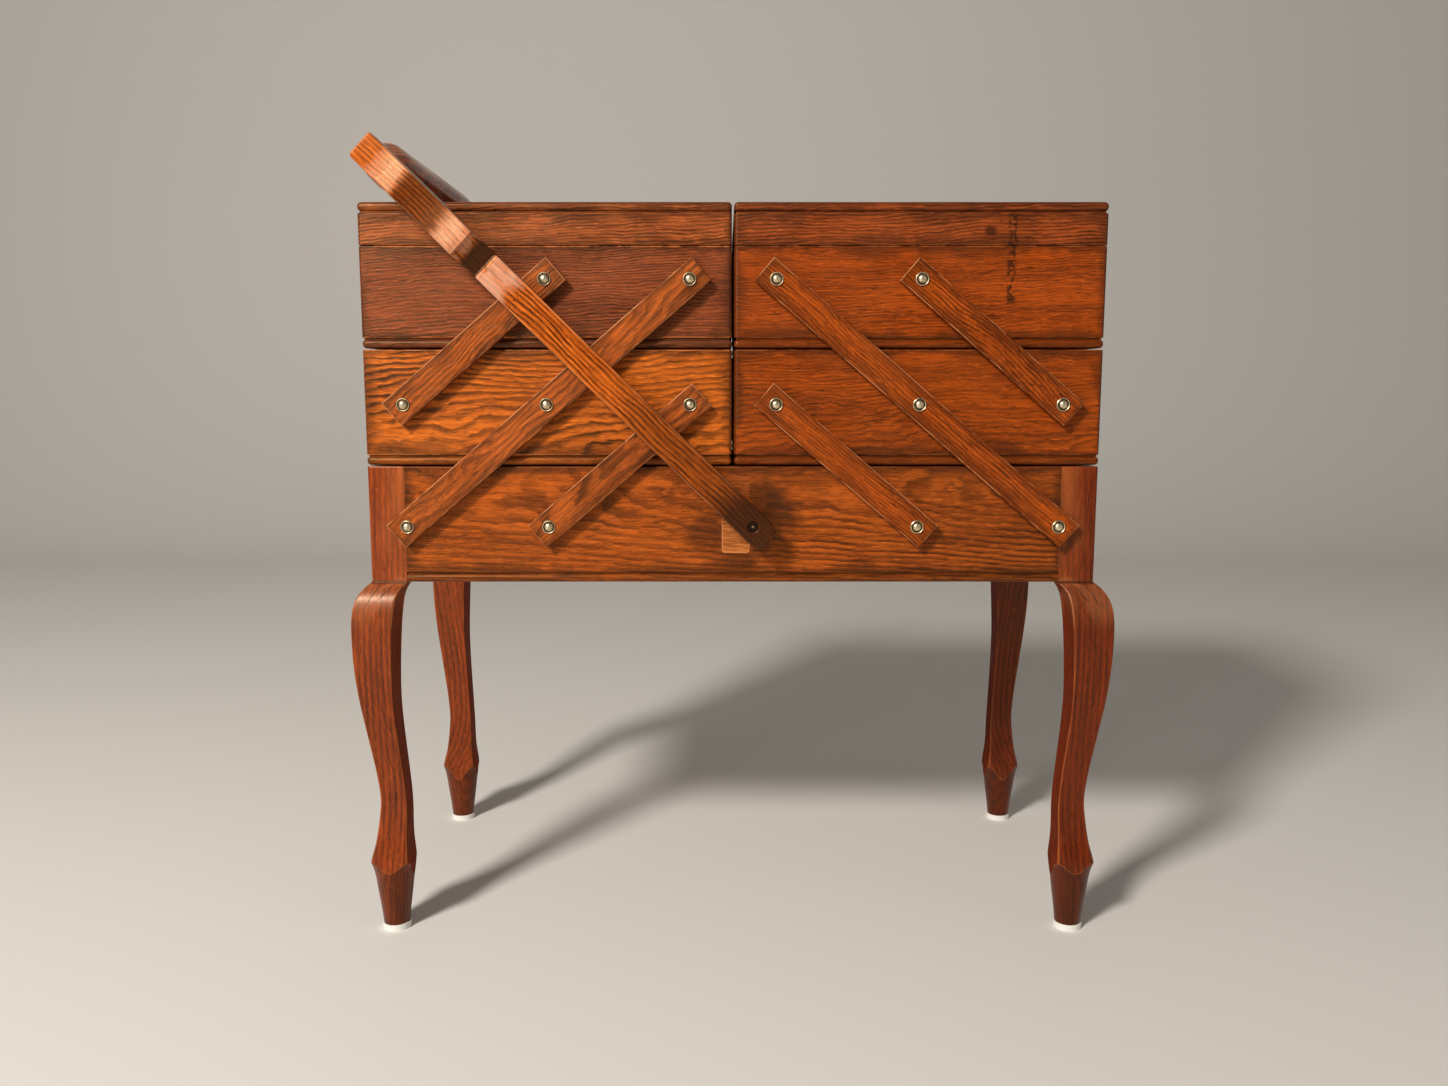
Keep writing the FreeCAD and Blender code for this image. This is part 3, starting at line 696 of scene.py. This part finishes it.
# %% Dress the strips
def pivot(name):
    """Where a joint turns, in metres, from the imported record."""
    return Vector(joints[name]["pos_m"])


def slope(start, end):
    """The angle of a line in the X-Z plane, in degrees."""
    return math.degrees(math.atan2(end.z - start.z, end.x - start.x))


for side, tone in (("left", LEFT_STRIP), ("right", RIGHT_STRIP)):
    lean = slope(pivot(f"{side}_trays"), pivot(f"{side}_top_tray_level"))
    for kind in ("long", "lower", "upper"):
        for face in ("front", "rear"):
            name = f"{side}_{kind}_strip_{face}"
            dress_board(
                name, tone, edge_radius=0.5, turn=(0, lean, 0), figure=0.7, rings=2.0, wander=22,
                wear_width=0.6, seam=0.45, bare=PALE_WOOD)
    print(side, "strips lean", round(lean, 2), "degrees")

# %% [markdown]
# Carved pieces
#
# The legs and the handle are carved, and worn along their ridges. A bevel that runs along every sharp
# edge gives the worn rounding, and the points in the middle of that bevel get the value 1 in an
# attribute named ridge. The material fades the bare wood in with it. Another attribute holds the
# coordinates that the grain reads.


# %% Carving helpers
def sharp_edges(shape, angle):
    return [edge for edge in shape.edges
            if len(edge.link_faces) == 2 and edge.calc_face_angle(0.0) > math.radians(angle)]


def round_ridges(shape, edges, radius, segments=2):
    """Bevels the edges. Points in the middle of the bevels get ridge = 1.

    The ridge layer has to exist already, because a new layer would make the list of edges useless."""
    made = bmesh.ops.bevel(
        shape, geom=edges, offset=radius, segments=segments, profile=0.5, affect="EDGES",
        material=-1, clamp_overlap=False)
    rounded = set(made["faces"])
    layer = shape.verts.layers.float["ridge"]
    for vert in made["verts"]:
        if all(face in rounded for face in vert.link_faces):
            vert[layer] = 1.0


def smooth_between(stations, place):
    """The values at a place, on a smooth curve through stations of (place, value, ...) in rising order."""
    index = max([i for i in range(len(stations) - 1) if stations[i][0] <= place] or [0])
    first, last = stations[index], stations[index + 1]
    before = stations[max(index - 1, 0)]
    after = stations[min(index + 2, len(stations) - 1)]
    gap = last[0] - first[0]
    part = (place - first[0]) / gap
    square, cube = part**2, part**3
    values = []
    for column in range(1, len(first)):
        lead_in = (last[column] - before[column]) / (last[0] - before[0]) * gap
        lead_out = (after[column] - first[column]) / (after[0] - first[0]) * gap
        values.append(
            (2 * cube - 3 * square + 1) * first[column] + (cube - 2 * square + part) * lead_in
            + (3 * square - 2 * cube) * last[column] + (cube - square) * lead_out)
    return values


def smooth_object(name, shape, body, replaced, sharp_angle=35):
    """An object with smooth shading and sharp edges past that angle, riding on a body."""
    for face in shape.faces:
        face.smooth = True
    for edge in shape.edges:
        edge.smooth = edge.calc_face_angle(0.0) < math.radians(sharp_angle)
    made = object_from(name, shape)
    normals = made.modifiers.new("flat_faces", "WEIGHTED_NORMAL")
    normals.keep_sharp = True
    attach(made, body)
    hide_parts(*replaced)
    return made


# %% [markdown]
# The cabriole legs
#
# A cabriole leg is sawn from a square blank along the same double curve on two sides, so every section
# is a square, the ridges stay crisp, and the knee swells past the corner of the case. Rings of points,
# one for each height, are bridged into that sawn blank. The foot is then turned on a lathe: a Boolean
# keeps only what the turning leaves, so that each flat face ends in a crisp U.

# %% Leg sizes
leg_low, leg_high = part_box("leg_front_left")
case_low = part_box("case_front_board")[0] / MM
leg_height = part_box("case_bottom_board")[0].z / MM
glide_height = leg_low.z / MM
post_size = 22.5
knee_swell = 10.8
corner_x, corner_y = case_low.x - post_size, case_low.y
# Radius of the leg's ridges, the post's outer corner and the post's corners at the boards
ridge_radius, post_corner_radius, joint_radius = 1.2, 2.4, 0.4
# The ridges are worn rounder by this much from a height down to the floor
worn_top, worn_corner = 75.0, 7.0
# The turned foot: height above the glide, radius
foot_turning = [(0.0, 8.3), (8.0, 9.1), (22.0, 11.0), (33.0, 12.5), (40.0, 14.4), (48.0, 19.0)]
foot_height = foot_turning[-1][0]
# Share of the leg's height, share of the knee's swell, share of the post's width
leg_stations = [
    (1.000, 0.00, 1.000), (0.982, 0.42, 1.040), (0.955, 0.76, 1.100), (0.915, 0.95, 1.135),
    (0.865, 1.00, 1.115), (0.770, 0.95, 1.045), (0.680, 0.78, 0.945), (0.604, 0.56, 0.865),
    (0.525, 0.32, 0.800), (0.451, 0.11, 0.752), (0.372, 0.00, 0.742), (0.271, 0.27, 0.880),
    (0.195, 0.64, 1.115), (0.125, 0.60, 1.100), (0.053, 0.43, 0.950), (0.0175, 0.37, 0.900),
]
leg_end = leg_stations[-1][0] * leg_height
print("leg", round(leg_height, 1), "mm high, its curve ends at", round(leg_end, 1), "mm")


def between_stations(level):
    """Swell and width in millimetres at a height, on a smooth curve through the stations."""
    swell, width = smooth_between(leg_stations[::-1], level / leg_height)
    return swell * knee_swell, width * post_size


def leg_section(level, corner_steps=6):
    """The section of the front left leg at a height: its centre's inset and its ring, in millimetres."""
    in_post = level > leg_height
    swell, width = (0.0, post_size) if in_post else between_stations(level)
    half = width / 2
    points = []
    for quarter in range(4):
        radius = ridge_radius + worn_corner * min(max((worn_top - level) / worn_top, 0.0), 1.0)
        if in_post:
            radius = post_corner_radius if quarter == 2 else joint_radius
        around = Matrix.Rotation(quarter * math.pi / 2, 2)
        for step in range(corner_steps + 1):
            angle = math.pi / 2 * step / corner_steps
            points.append(around @ Vector((
                half - radius + radius * math.cos(angle), half - radius + radius * math.sin(angle))))
    return half - swell, points


def leg_levels(count=74, step_over=0.4, hair=0.01):
    """The heights of the sections, from the post's top down. A hair parts the post from the curve."""
    top = leg_high.z / MM
    curved = [leg_height - (leg_height - leg_end) * step / count for step in range(1, count)]
    return [top, top - step_over, leg_height + hair] + curved + [leg_end]


def sawn_blank():
    """The front left leg as the saw leaves it, in millimetres."""
    shape = bmesh.new()
    loops = []
    for level in leg_levels():
        inset, points = leg_section(level)
        height = max(level, glide_height)
        ring = [shape.verts.new((corner_x + inset + point.x, corner_y + inset + point.y, height))
                for point in points]
        loops.append([shape.edges.new((ring[i - 1], ring[i])) for i in range(len(ring))])
    for upper, lower in zip(loops, loops[1:]):
        bmesh.ops.bridge_loops(shape, edges=upper + lower)
    bmesh.ops.holes_fill(shape, edges=loops[0] + loops[-1])
    bmesh.ops.recalc_face_normals(shape, faces=shape.faces)
    return shape


def foot_centre():
    inset, _ = leg_section(leg_end)
    return corner_x + inset, corner_y + inset


def foot_radius(height):
    return smooth_between(foot_turning, height)[0]


def lathe_shape(steps=64, samples=24, clear=60.0, flare=30.0, spare=5.0):
    """What the lathe leaves: the foot's profile, opening out above it to stay clear of the whole leg."""
    centre_x, centre_y = foot_centre()
    bottom, top = glide_height - 1, leg_high.z / MM + spare
    profile = [(0.0, bottom), (foot_turning[0][1], bottom)]
    for step in range(samples + 1):
        height = foot_height * step / samples
        profile.append((foot_radius(height), glide_height + height))
    profile += [(clear, glide_height + foot_height + flare), (clear, top), (0.0, top)]
    shape = bmesh.new()
    verts = [shape.verts.new((centre_x + radius, centre_y, height)) for radius, height in profile]
    edges = [shape.edges.new(pair) for pair in zip(verts, verts[1:])]
    bmesh.ops.spin(shape, geom=verts + edges, cent=(centre_x, centre_y, 0), axis=(0, 0, 1),
                   angle=math.radians(360), steps=steps, use_merge=True)
    bmesh.ops.remove_doubles(shape, verts=shape.verts, dist=0.001)
    bmesh.ops.recalc_face_normals(shape, faces=shape.faces)
    return shape


def turned_leg():
    """The blank with its foot turned, as a mesh in millimetres."""
    blank = object_from("leg_blank", sawn_blank())
    lathe = object_from("leg_lathe", lathe_shape())
    turning = blank.modifiers.new("turning", "BOOLEAN")
    turning.operation = "INTERSECT"
    turning.solver = "EXACT"
    turning.object = lathe
    cut_blank = blank.evaluated_get(bpy.context.evaluated_depsgraph_get())
    finished = bpy.data.meshes.new_from_object(cut_blank)
    for helper in (blank, lathe):
        bpy.data.objects.remove(helper)
    return finished


def is_turned(face, nearly=0.05, above=0.1):
    """Whether a face of the finished leg, in millimetres, lies on the surface that the lathe left."""
    centre_x, centre_y = foot_centre()
    for place in [vert.co for vert in face.verts] + [face.calc_center_median()]:
        height = place.z - glide_height
        if height > foot_height:
            return False
        radius = math.hypot(place.x - centre_x, place.y - centre_y)
        if height > above and abs(radius - foot_radius(height)) > nearly:
            return False
    return True


def place_leg(mesh, side_x, side_y, follow=0.6, rim_radius=0.6, joined=0.2, ridge_fade=35):
    """The finished leg at one corner of the case.

    The grain follows a share of the knee's swell, and the wear fades out by degrees beside a ridge."""
    shape = bmesh.new()
    shape.from_mesh(mesh)
    ridge = shape.verts.layers.float.new("ridge")
    grain = shape.verts.layers.float_vector.new("grain")
    turned = shape.faces.layers.float.new("turned")
    bmesh.ops.remove_doubles(shape, verts=shape.verts, dist=joined)
    for face in shape.faces:
        face[turned] = float(is_turned(face))
    rim = [edge for edge in shape.edges
           if len(edge.link_faces) == 2 and edge.link_faces[0][turned] != edge.link_faces[1][turned]]
    round_ridges(shape, rim, rim_radius)
    for vert in shape.verts:
        swell, width = (0.0, post_size) if vert.co.z >= leg_height else between_stations(vert.co.z)
        vert[grain] = (vert.co + follow * Vector((swell, swell, 0))) * MM
        beyond = [abs(value - (corner + width / 2 - swell)) - (width / 2 - ridge_radius)
                  for value, corner in ((vert.co.x, corner_x), (vert.co.y, corner_y))]
        if min(beyond) > 0 and vert.co.z > worn_top / 2:
            off_ridge = abs(math.degrees(math.atan2(beyond[1], beyond[0])) - 45)
            vert[ridge] = max(0.0, 1 - off_ridge / ridge_fade)
    bmesh.ops.scale(shape, verts=shape.verts, vec=(-side_x * MM, -side_y * MM, MM))
    bmesh.ops.recalc_face_normals(shape, faces=shape.faces)
    return shape


# %% [markdown]
# Marks on the legs
#
# Hands and shoes leave marks that repeat on each leg: the post is a little paler than the curve below
# it, a dark line runs round the leg where its curve begins, the knee's top is rubbed paler, partly as a
# painted sheen, and has dried into short cracks, and the turned foot is dirty and darkened further by
# painted shade. They follow the height, so one function serves all four legs. The turned coordinates
# run up the leg along X as negative numbers, so the sign is dropped.

# %% Marks on the legs
POST_TINT = (1.5, 1.5, 1.6, 1)
# The drying cracks: distance from the box's middle, length, how far they lean out for each millimetre
KNEE_CRACKS = [(217.3, 12.0, 0.22), (209.0, 9.0, 0.4)]


def leg_marks(tree, colour, point):
    """A pale post over a dark joint line, a knee with a rubbed top, a painted sheen and drying cracks, a
    foot darkened by dirt and painted shade.
    """
    up, _, across = parts_of(tree, point)
    height = maths(tree, "ABSOLUTE", up)
    below = maths(tree, "SUBTRACT", leg_height, height)
    leg_patch_noise = noise(tree, point, (0.03, 0.1, 0.1), 3.0, 0.6)

    # The knee's top under the post is rubbed paler, and the paler colour is partly a painted sheen
    rubbed_and_sheen = window(tree, sway(tree, leg_patch_noise, 26.0, height), leg_height - 10, leg_height, 20, 3, 0.14)
    rubbed_and_sheen = maths(tree, "MULTIPLY", rubbed_and_sheen, ramp(tree, leg_patch_noise, 0.35, 0.6, 0.4, 1.0))
    colour = mix_colour(tree, rubbed_and_sheen, colour, PALE_WOOD)
    post = ramp(tree, height, leg_height, leg_height + 2, 0.0, 0.15)
    colour = mix_colour(tree, post, colour, POST_TINT, "MULTIPLY")

    opened = [ramp(tree, apart(tree, height, leg_height), 1.0, 0.3, 0.0, 0.8)]
    wobble = sway(tree, noise(tree, point, (0.1, 0.1, 0.1)), 3.0)
    for beside, length, lean in KNEE_CRACKS:
        middle = maths(tree, "MULTIPLY_ADD", below, lean, maths(tree, "ADD", wobble, beside))
        away = apart(tree, maths(tree, "ABSOLUTE", across), middle)
        stretch = window(tree, below, 1.0, length, 0.5, 4, 0.9)
        opened.append(maths(tree, "MULTIPLY", ramp(tree, away, 0.5, 0.1), stretch))
    cracks = strongest(tree, opened)
    # The turned foot is darkened by dirt and by painted shade
    foot = maths(tree, "MULTIPLY", attribute(tree, "turned"), ramp(tree, leg_patch_noise, 0.3, 0.7, 0.3, 0.6))
    return mix_colour(tree, maths(tree, "MAXIMUM", cracks, foot), colour, STAIN_AND_SHADE_BROWN), cracks


# %% [markdown]
# Two finishes on each leg
#
# The faces to the front and rear are glossy and the flanks dull, because a glossy flank would mirror the
# pale sheet at a low angle and turn grey. Both finishes share the wood and its seed, so the grain runs on
# round the ridge. The face's own direction chooses between them.

# %% Legs
leg_mesh = turned_leg()
for side_y, front_or_rear in ((-1, "front"), (1, "rear")):
    for side_x, tone in ((-1, LEFT_LEG), (1, RIGHT_LEG)):
        name = f"leg_{front_or_rear}_" + ("left" if side_x < 0 else "right")
        carved = place_leg(leg_mesh, side_x, side_y)
        post_edges = [edge for edge in sharp_edges(carved, 20)
                      if min(vert.co.z for vert in edge.verts) > leg_height * MM]
        round_ridges(carved, post_edges, joint_radius * MM)
        leg = smooth_object("carved_" + name, carved, "base", [name])
        seed = SEED_STEP * next(seeds)
        for label, gloss, shine in ((name, 0.3, 0.4), (name + "_flanks", 0.6, 0.05)):
            leg.data.materials.append(oak(
                label, leg, tone, turn=GRAIN_Z, seed=seed, carved=True, wear=0.5, gloss=gloss, shine=shine,
                tint=PALE_AMBER, relief=0.15, rings=2.2, figure=0.6, marks=leg_marks))
        on_lathe = leg.data.attributes["turned"].data
        for face in leg.data.polygons:
            flank = abs(face.normal.x) > 2 * abs(face.normal.y) and face.center.z < leg_height * MM
            face.material_index = int(flank and on_lathe[face.index].value < 0.5)
        print(name, len(leg.data.vertices), "points")

# %% [markdown]
# The handle
#
# The arms are straight bars with a carved grip end: a swell, a crisp notch, a hollow, and a thicker part
# whose face rolls like two waves. The frame holds the outline. In a welded copy of it the ridges are
# rounded first, then the carved end is cut across every two millimetres and its face laid on the waves.


# %% Handle shape
def welded_copy(name):
    """The CAD node's mesh with its loose triangles merged, its flat faces whole and a ridge layer."""
    shape = bmesh.new()
    shape.from_mesh(nodes[name].data)
    shape.verts.layers.float.new("ridge")
    bmesh.ops.remove_doubles(shape, verts=shape.verts, dist=TOUCHING)
    bmesh.ops.dissolve_limit(shape, angle_limit=FLAT, verts=shape.verts, edges=shape.edges)
    return shape


grip_low, grip_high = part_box("handle_grip")
handle_pivot = pivot("handle_swing")
handle_slope = slope(handle_pivot, (grip_low + grip_high) / 2)
arm_way = Vector((math.cos(math.radians(handle_slope)), 0, math.sin(math.radians(handle_slope))))
arm_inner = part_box("handle_spacers")[1].y / MM
# Points farther out from the arm's inner face than this, in millimetres, lie on its outer face
face_depth = 10
wave_step = 2
# Distance from the pivot, thickness of the arm's carved end
arm_waves = [
    (236.5, 17.3), (241.0, 16.9), (246.0, 16.1), (251.0, 15.4), (257.0, 14.9), (264.0, 14.7), (271.0, 15.0),
    (278.0, 15.8), (283.0, 16.2), (287.0, 15.9), (293.0, 15.0), (299.0, 14.1), (304.0, 13.7), (317.0, 13.5),
]


def on_arm(vert, side):
    """How far along the arm a point is, and how far out from its inner face, in millimetres."""
    return (vert.co - handle_pivot).dot(arm_way) / MM, side * vert.co.y / MM - arm_inner


def plain_depth(stations, along):
    """How far out the arm's face lies before it is carved, between the stations of the frame's mesh."""
    before = max([station for station in stations if station[0] <= along] or stations[:1])
    after = min([station for station in stations if station[0] > along] or stations[-1:])
    if after[0] == before[0]:
        return before[1]
    return before[1] + (after[1] - before[1]) * (along - before[0]) / (after[0] - before[0])


def carve_waves(shape, side, stations):
    """Lays the face of an arm's carved end on the waves. side is -1 at the front and 1 at the rear."""
    start, end = arm_waves[0][0], arm_waves[-1][0]
    for step in range(int((end - start) / wave_step)):
        everything = shape.verts[:] + shape.edges[:] + shape.faces[:]
        place = handle_pivot + arm_way * (start + wave_step * step) * MM
        bmesh.ops.bisect_plane(shape, geom=everything, plane_co=place, plane_no=arm_way, dist=TOUCHING)
    for vert in shape.verts:
        along, depth = on_arm(vert, side)
        if along > start - 0.1 and depth > face_depth:
            extra = smooth_between(arm_waves, min(along, end))[0] - plain_depth(stations, along)
            vert.co.y += side * extra * MM


def handle_piece(name, side, round_radius=1.0):
    """A carved copy of one of the handle's pieces. side is -1 front, 1 rear, 0 for the grip between."""
    carved = welded_copy(name)
    places = [on_arm(vert, side) for vert in carved.verts]
    stations = sorted(place for place in places if place[1] > face_depth)
    round_ridges(carved, sharp_edges(carved, 30), round_radius * MM, segments=4)
    if side:
        carve_waves(carved, side, stations)
    grain = carved.verts.layers.float_vector.new("grain")
    for vert in carved.verts:
        vert[grain] = vert.co
    return smooth_object("carved_" + name, carved, "handle", [name])


# %% [markdown]
# Wear on the handle
#
# Hands have rubbed the handle pale on its crests, and a painted sheen lies on them too. Painted shade
# darkens the hollow and the stretch between the crests, and the arm grows darker towards the pivot. These
# marks follow the distance from the pivot along the arm.

# %% Handle finish
# A dark brown for the painted shade in the hollow and the darker end at the pivot
HANDLE_DARK_BROWN = srgb(34, 12, 6)
HANDLE_POLISH_AND_SHEEN = srgb(216, 164, 134)
# Stretches along the arm, in millimetres from the pivot: start, end, softness at each, strength. The
# polished ones are rubbed wear with a painted sheen, and the darker one between the crests and the hollow
# are painted shade.
POLISHED_AND_SHEEN = [(204, 216, 10, 2, 0.6), (235, 249, 2, 8, 0.4), (289, 303, 4, 3, 0.2)]
DARKER_STRETCHES = [(258, 282, 10, 6, 0.66), (25, 85, 15, 35, 0.46)]
HOLLOW_SHADE = (219.6, 229, 0.3, 5, 0.95)
turned_pivot = Euler((0, math.radians(handle_slope), 0)).to_matrix() @ handle_pivot / MM


def arm_marks(tree, colour, point):
    """Rubbed pale crests with a painted sheen, darker stretches, painted shade in the hollow, and a darker
    end round the pivot.
    """
    offset = vector_maths(tree, "SUBTRACT", point, tuple(turned_pivot))
    along = maths(tree, "ABSOLUTE", parts_of(tree, offset)[0])
    uneven = noise(tree, point, (0.05, 0.16, 0.16), 3.0, 0.6)
    rough_along = sway(tree, uneven, 16.0, along)
    # Darker stretches; the one between the crests is painted shade
    dull = strongest(tree, [window(tree, rough_along, *stretch) for stretch in DARKER_STRETCHES])
    colour = mix_colour(tree, dull, colour, STAIN_AND_SHADE_BROWN)
    # Pale crests: rubbed wear with a painted sheen
    polish_and_sheen = strongest(tree, [window(tree, rough_along, *stretch) for stretch in POLISHED_AND_SHEEN])
    polish_and_sheen = maths(tree, "MULTIPLY", polish_and_sheen, ramp(tree, uneven, 0.3, 0.6, 0.5, 1.0))
    colour = mix_colour(tree, polish_and_sheen, colour, HANDLE_POLISH_AND_SHEEN)
    # Painted shade in the hollow, and the arm darker towards the pivot
    shade_and_pivot_dark = [window(tree, along, *HOLLOW_SHADE), ramp(tree, rough_along, 38, 12, 0.0, 0.93)]
    return mix_colour(tree, strongest(tree, shade_and_pivot_dark), colour, HANDLE_DARK_BROWN), 0.0


for name, side in (("handle_front_arm", -1), ("handle_rear_arm", 1), ("handle_grip", 0)):
    piece = handle_piece(name, side)
    turn = (0, handle_slope, 0) if side else GRAIN_Y
    dress(piece, oak(
        name, piece, HANDLE, turn=turn, seed=SEED_STEP * next(seeds), carved=True, wear=0.5, gloss=0.22,
        rings=2.6, figure=0.9, wander=16, bare=PALE_WOOD, marks=arm_marks if side else None))
    print(name, len(piece.data.vertices), "points")

# %% [markdown]
# The rivets
#
# Each rivet is a loose collar with a shadow groove and a small dome that hands and cloths keep bright.
# It is turned like the real one: an outline from the middle of the dome round to the tail behind the
# board, spun about the rivet's axis.

# %% Rivets
rivet_steps = 28
dome_radius, dome_foot, dome_rise = 2.55, 0.85, 1.55
# Radius, height over the strip's face: the shadow groove, then the collar
rivet_groove = [(2.75, 0.55), (3.05, 0.35), (3.3, 0.45), (3.45, 0.75)]
rivet_collar = [(3.75, 0.9), (4.05, 0.75), (4.15, 0.4), (4.1, 0.0)]
groove_inside, groove_outside = 2.7, 3.35
shank_radius, tail_radius, tail_height, tail_rounding = 2.0, 2.8, 1.2, (0.3, 0.2)
collar_clearance = 0.1
strip_face = -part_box("left_long_strip_front")[0].y / MM
tray_inner = -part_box("left_mid_tray_front")[1].y / MM
case_inner = -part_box("case_front_board")[1].y / MM


def rivet_outline(board_inside, dome_steps=8, dome_turn=11.5):
    """Radius and height along the axis, from the dome's tip to the tail, in millimetres."""
    top = strip_face + collar_clearance
    outline = []
    for step in range(dome_steps):
        angle = math.radians(90 - step * dome_turn)
        outline.append((dome_radius * math.cos(angle), top + dome_foot + dome_rise * math.sin(angle)))
    outline += [(radius, top + height) for radius, height in rivet_groove + rivet_collar]
    inwards, upwards = tail_rounding
    tail_end = board_inside - tail_height
    outline += [(shank_radius, top), (shank_radius, board_inside), (tail_radius, board_inside)]
    outline += [(tail_radius, tail_end + upwards), (tail_radius - inwards, tail_end), (0.0, tail_end)]
    return outline


def add_rivet(shape, x, z, face, board_inside):
    verts = [shape.verts.new((x + radius, face * height, z))
             for radius, height in rivet_outline(board_inside)]
    edges = [shape.edges.new(pair) for pair in zip(verts, verts[1:])]
    bmesh.ops.spin(shape, geom=verts + edges, cent=(x, 0, z), axis=(0, 1, 0), angle=math.radians(360),
                   steps=rivet_steps, use_merge=True)


def rivet_set(node, body, places, board_inside):
    """The rivets at these places in X and Z, at the front and at the rear, in the place of a CAD node."""
    shape = bmesh.new()
    for x, z in places:
        for face in (-1, 1):
            add_rivet(shape, x, z, face, board_inside)
    bmesh.ops.remove_doubles(shape, verts=shape.verts, dist=0.0005)
    bmesh.ops.recalc_face_normals(shape, faces=shape.faces)
    tarnish = shape.verts.layers.float.new("tarnish")
    for vert in shape.verts:
        radius = min(math.hypot(vert.co.x - x, vert.co.z - z) for x, z in places)
        outside = abs(vert.co.y) > strip_face
        if outside and groove_inside < radius < groove_outside:
            vert[tarnish] = 1.0
    bmesh.ops.scale(shape, verts=shape.verts, vec=(MM, MM, MM))
    made = smooth_object("turned_" + node, shape, body, [node], sharp_angle=50)
    print(made.name, len(made.data.polygons), "faces")
    return made


# %% [markdown]
# Metal
#
# The rivets are nickel over brass, clouded by handling. A noise dulls the metal in patches and roughens
# it there, and the rivets' grooves are tarnished where their attribute says so. The handle's pins are
# the same finish, nearly black with grease, and a small bright dot marks the middle of each.


# %% Metal
TARNISH = srgb(104, 82, 54)
PIN_DOT = srgb(150, 120, 95)


def metal(name, colour, roughness, dull_share=0.55):
    material = bpy.data.materials.new(name)
    material.use_nodes = True
    tree = material.node_tree
    shader = tree.nodes["Principled BSDF"]
    place = put(tree, "ShaderNodeTexCoord").outputs["Object"]
    cloud = noise(tree, place, (350, 350, 350), 4.0, 0.65)
    dull = tuple(dull_share * value for value in colour[:3]) + (1.0,)
    shade = mix_colour(tree, ramp(tree, cloud, 0.42, 0.68), colour, dull)
    shade = mix_colour(tree, attribute(tree, "tarnish"), shade, TARNISH)
    tree.links.new(shade, shader.inputs["Base Color"])
    tree.links.new(ramp(tree, cloud, 0.3, 0.7, roughness, roughness + 0.18), shader.inputs["Roughness"])
    shader.inputs["Metallic"].default_value = 1.0
    return material


def add_pin_dot(material, outer=0.9, inner=0.5):
    """Brightens a spot on the handle's axis. The radii are in millimetres."""
    tree = material.node_tree
    base_colour = tree.nodes["Principled BSDF"].inputs["Base Color"]
    place = put(tree, "ShaderNodeTexCoord").outputs["Object"]
    from_axis = vector_maths(tree, "SUBTRACT", place, tuple(handle_pivot))
    from_axis = vector_maths(tree, "MULTIPLY", from_axis, (1 / MM, 0, 1 / MM))
    dot = ramp(tree, length_of(tree, from_axis), outer, inner)
    tree.links.new(mix_colour(tree, dot, base_colour.links[0].from_socket, PIN_DOT), base_colour)
    return material


brass = metal("aged_brass", srgb(226, 208, 172), 0.26, dull_share=0.5)
hinge_metal = metal("hinge_brass", srgb(190, 156, 92), 0.3)
dress(nodes["handle_spacers"], metal("dull_steel", srgb(120, 112, 104), 0.4))
dress(nodes["handle_pivot_pins"], add_pin_dot(metal("pin_metal", srgb(50, 34, 26), 0.45)))
for name in nodes:
    if "hinge" in name:
        dress(nodes[name], hinge_metal)

row_pivots = [pivot(name) / MM for name in ("left_trays", "left_mid_tray_level", "left_top_tray_level")]
low_z, middle_z, high_z = (place.z for place in row_pivots)
outer_x, middle_x, inner_x = (-place.x for place in row_pivots)
case_places = [(side * x, low_z) for side in (-1, 1) for x in (outer_x, middle_x)]
dress(rivet_set("case_rivets", "base", case_places, case_inner), brass)
tray_rows = (("mid", middle_z, (outer_x, middle_x, inner_x)), ("top", high_z, (middle_x, inner_x)))
for side, sign in (("left", -1), ("right", 1)):
    for level, z, row in tray_rows:
        tray = f"{side}_{level}_tray"
        dress(rivet_set(f"{tray}_rivets", tray, [(sign * x, z) for x in row], tray_inner), brass)

# %% [markdown]
# The glides
#
# A white plastic disc is nailed under each foot. The frame's disc has its true shape already, so it only
# needs the plain colour of the plastic.

# %% Glides
white = bpy.data.materials.new("glide_white")
white.use_nodes = True
white.node_tree.nodes["Principled BSDF"].inputs["Base Color"].default_value = srgb(226, 222, 212)
dress(nodes["foot_glides"], white)
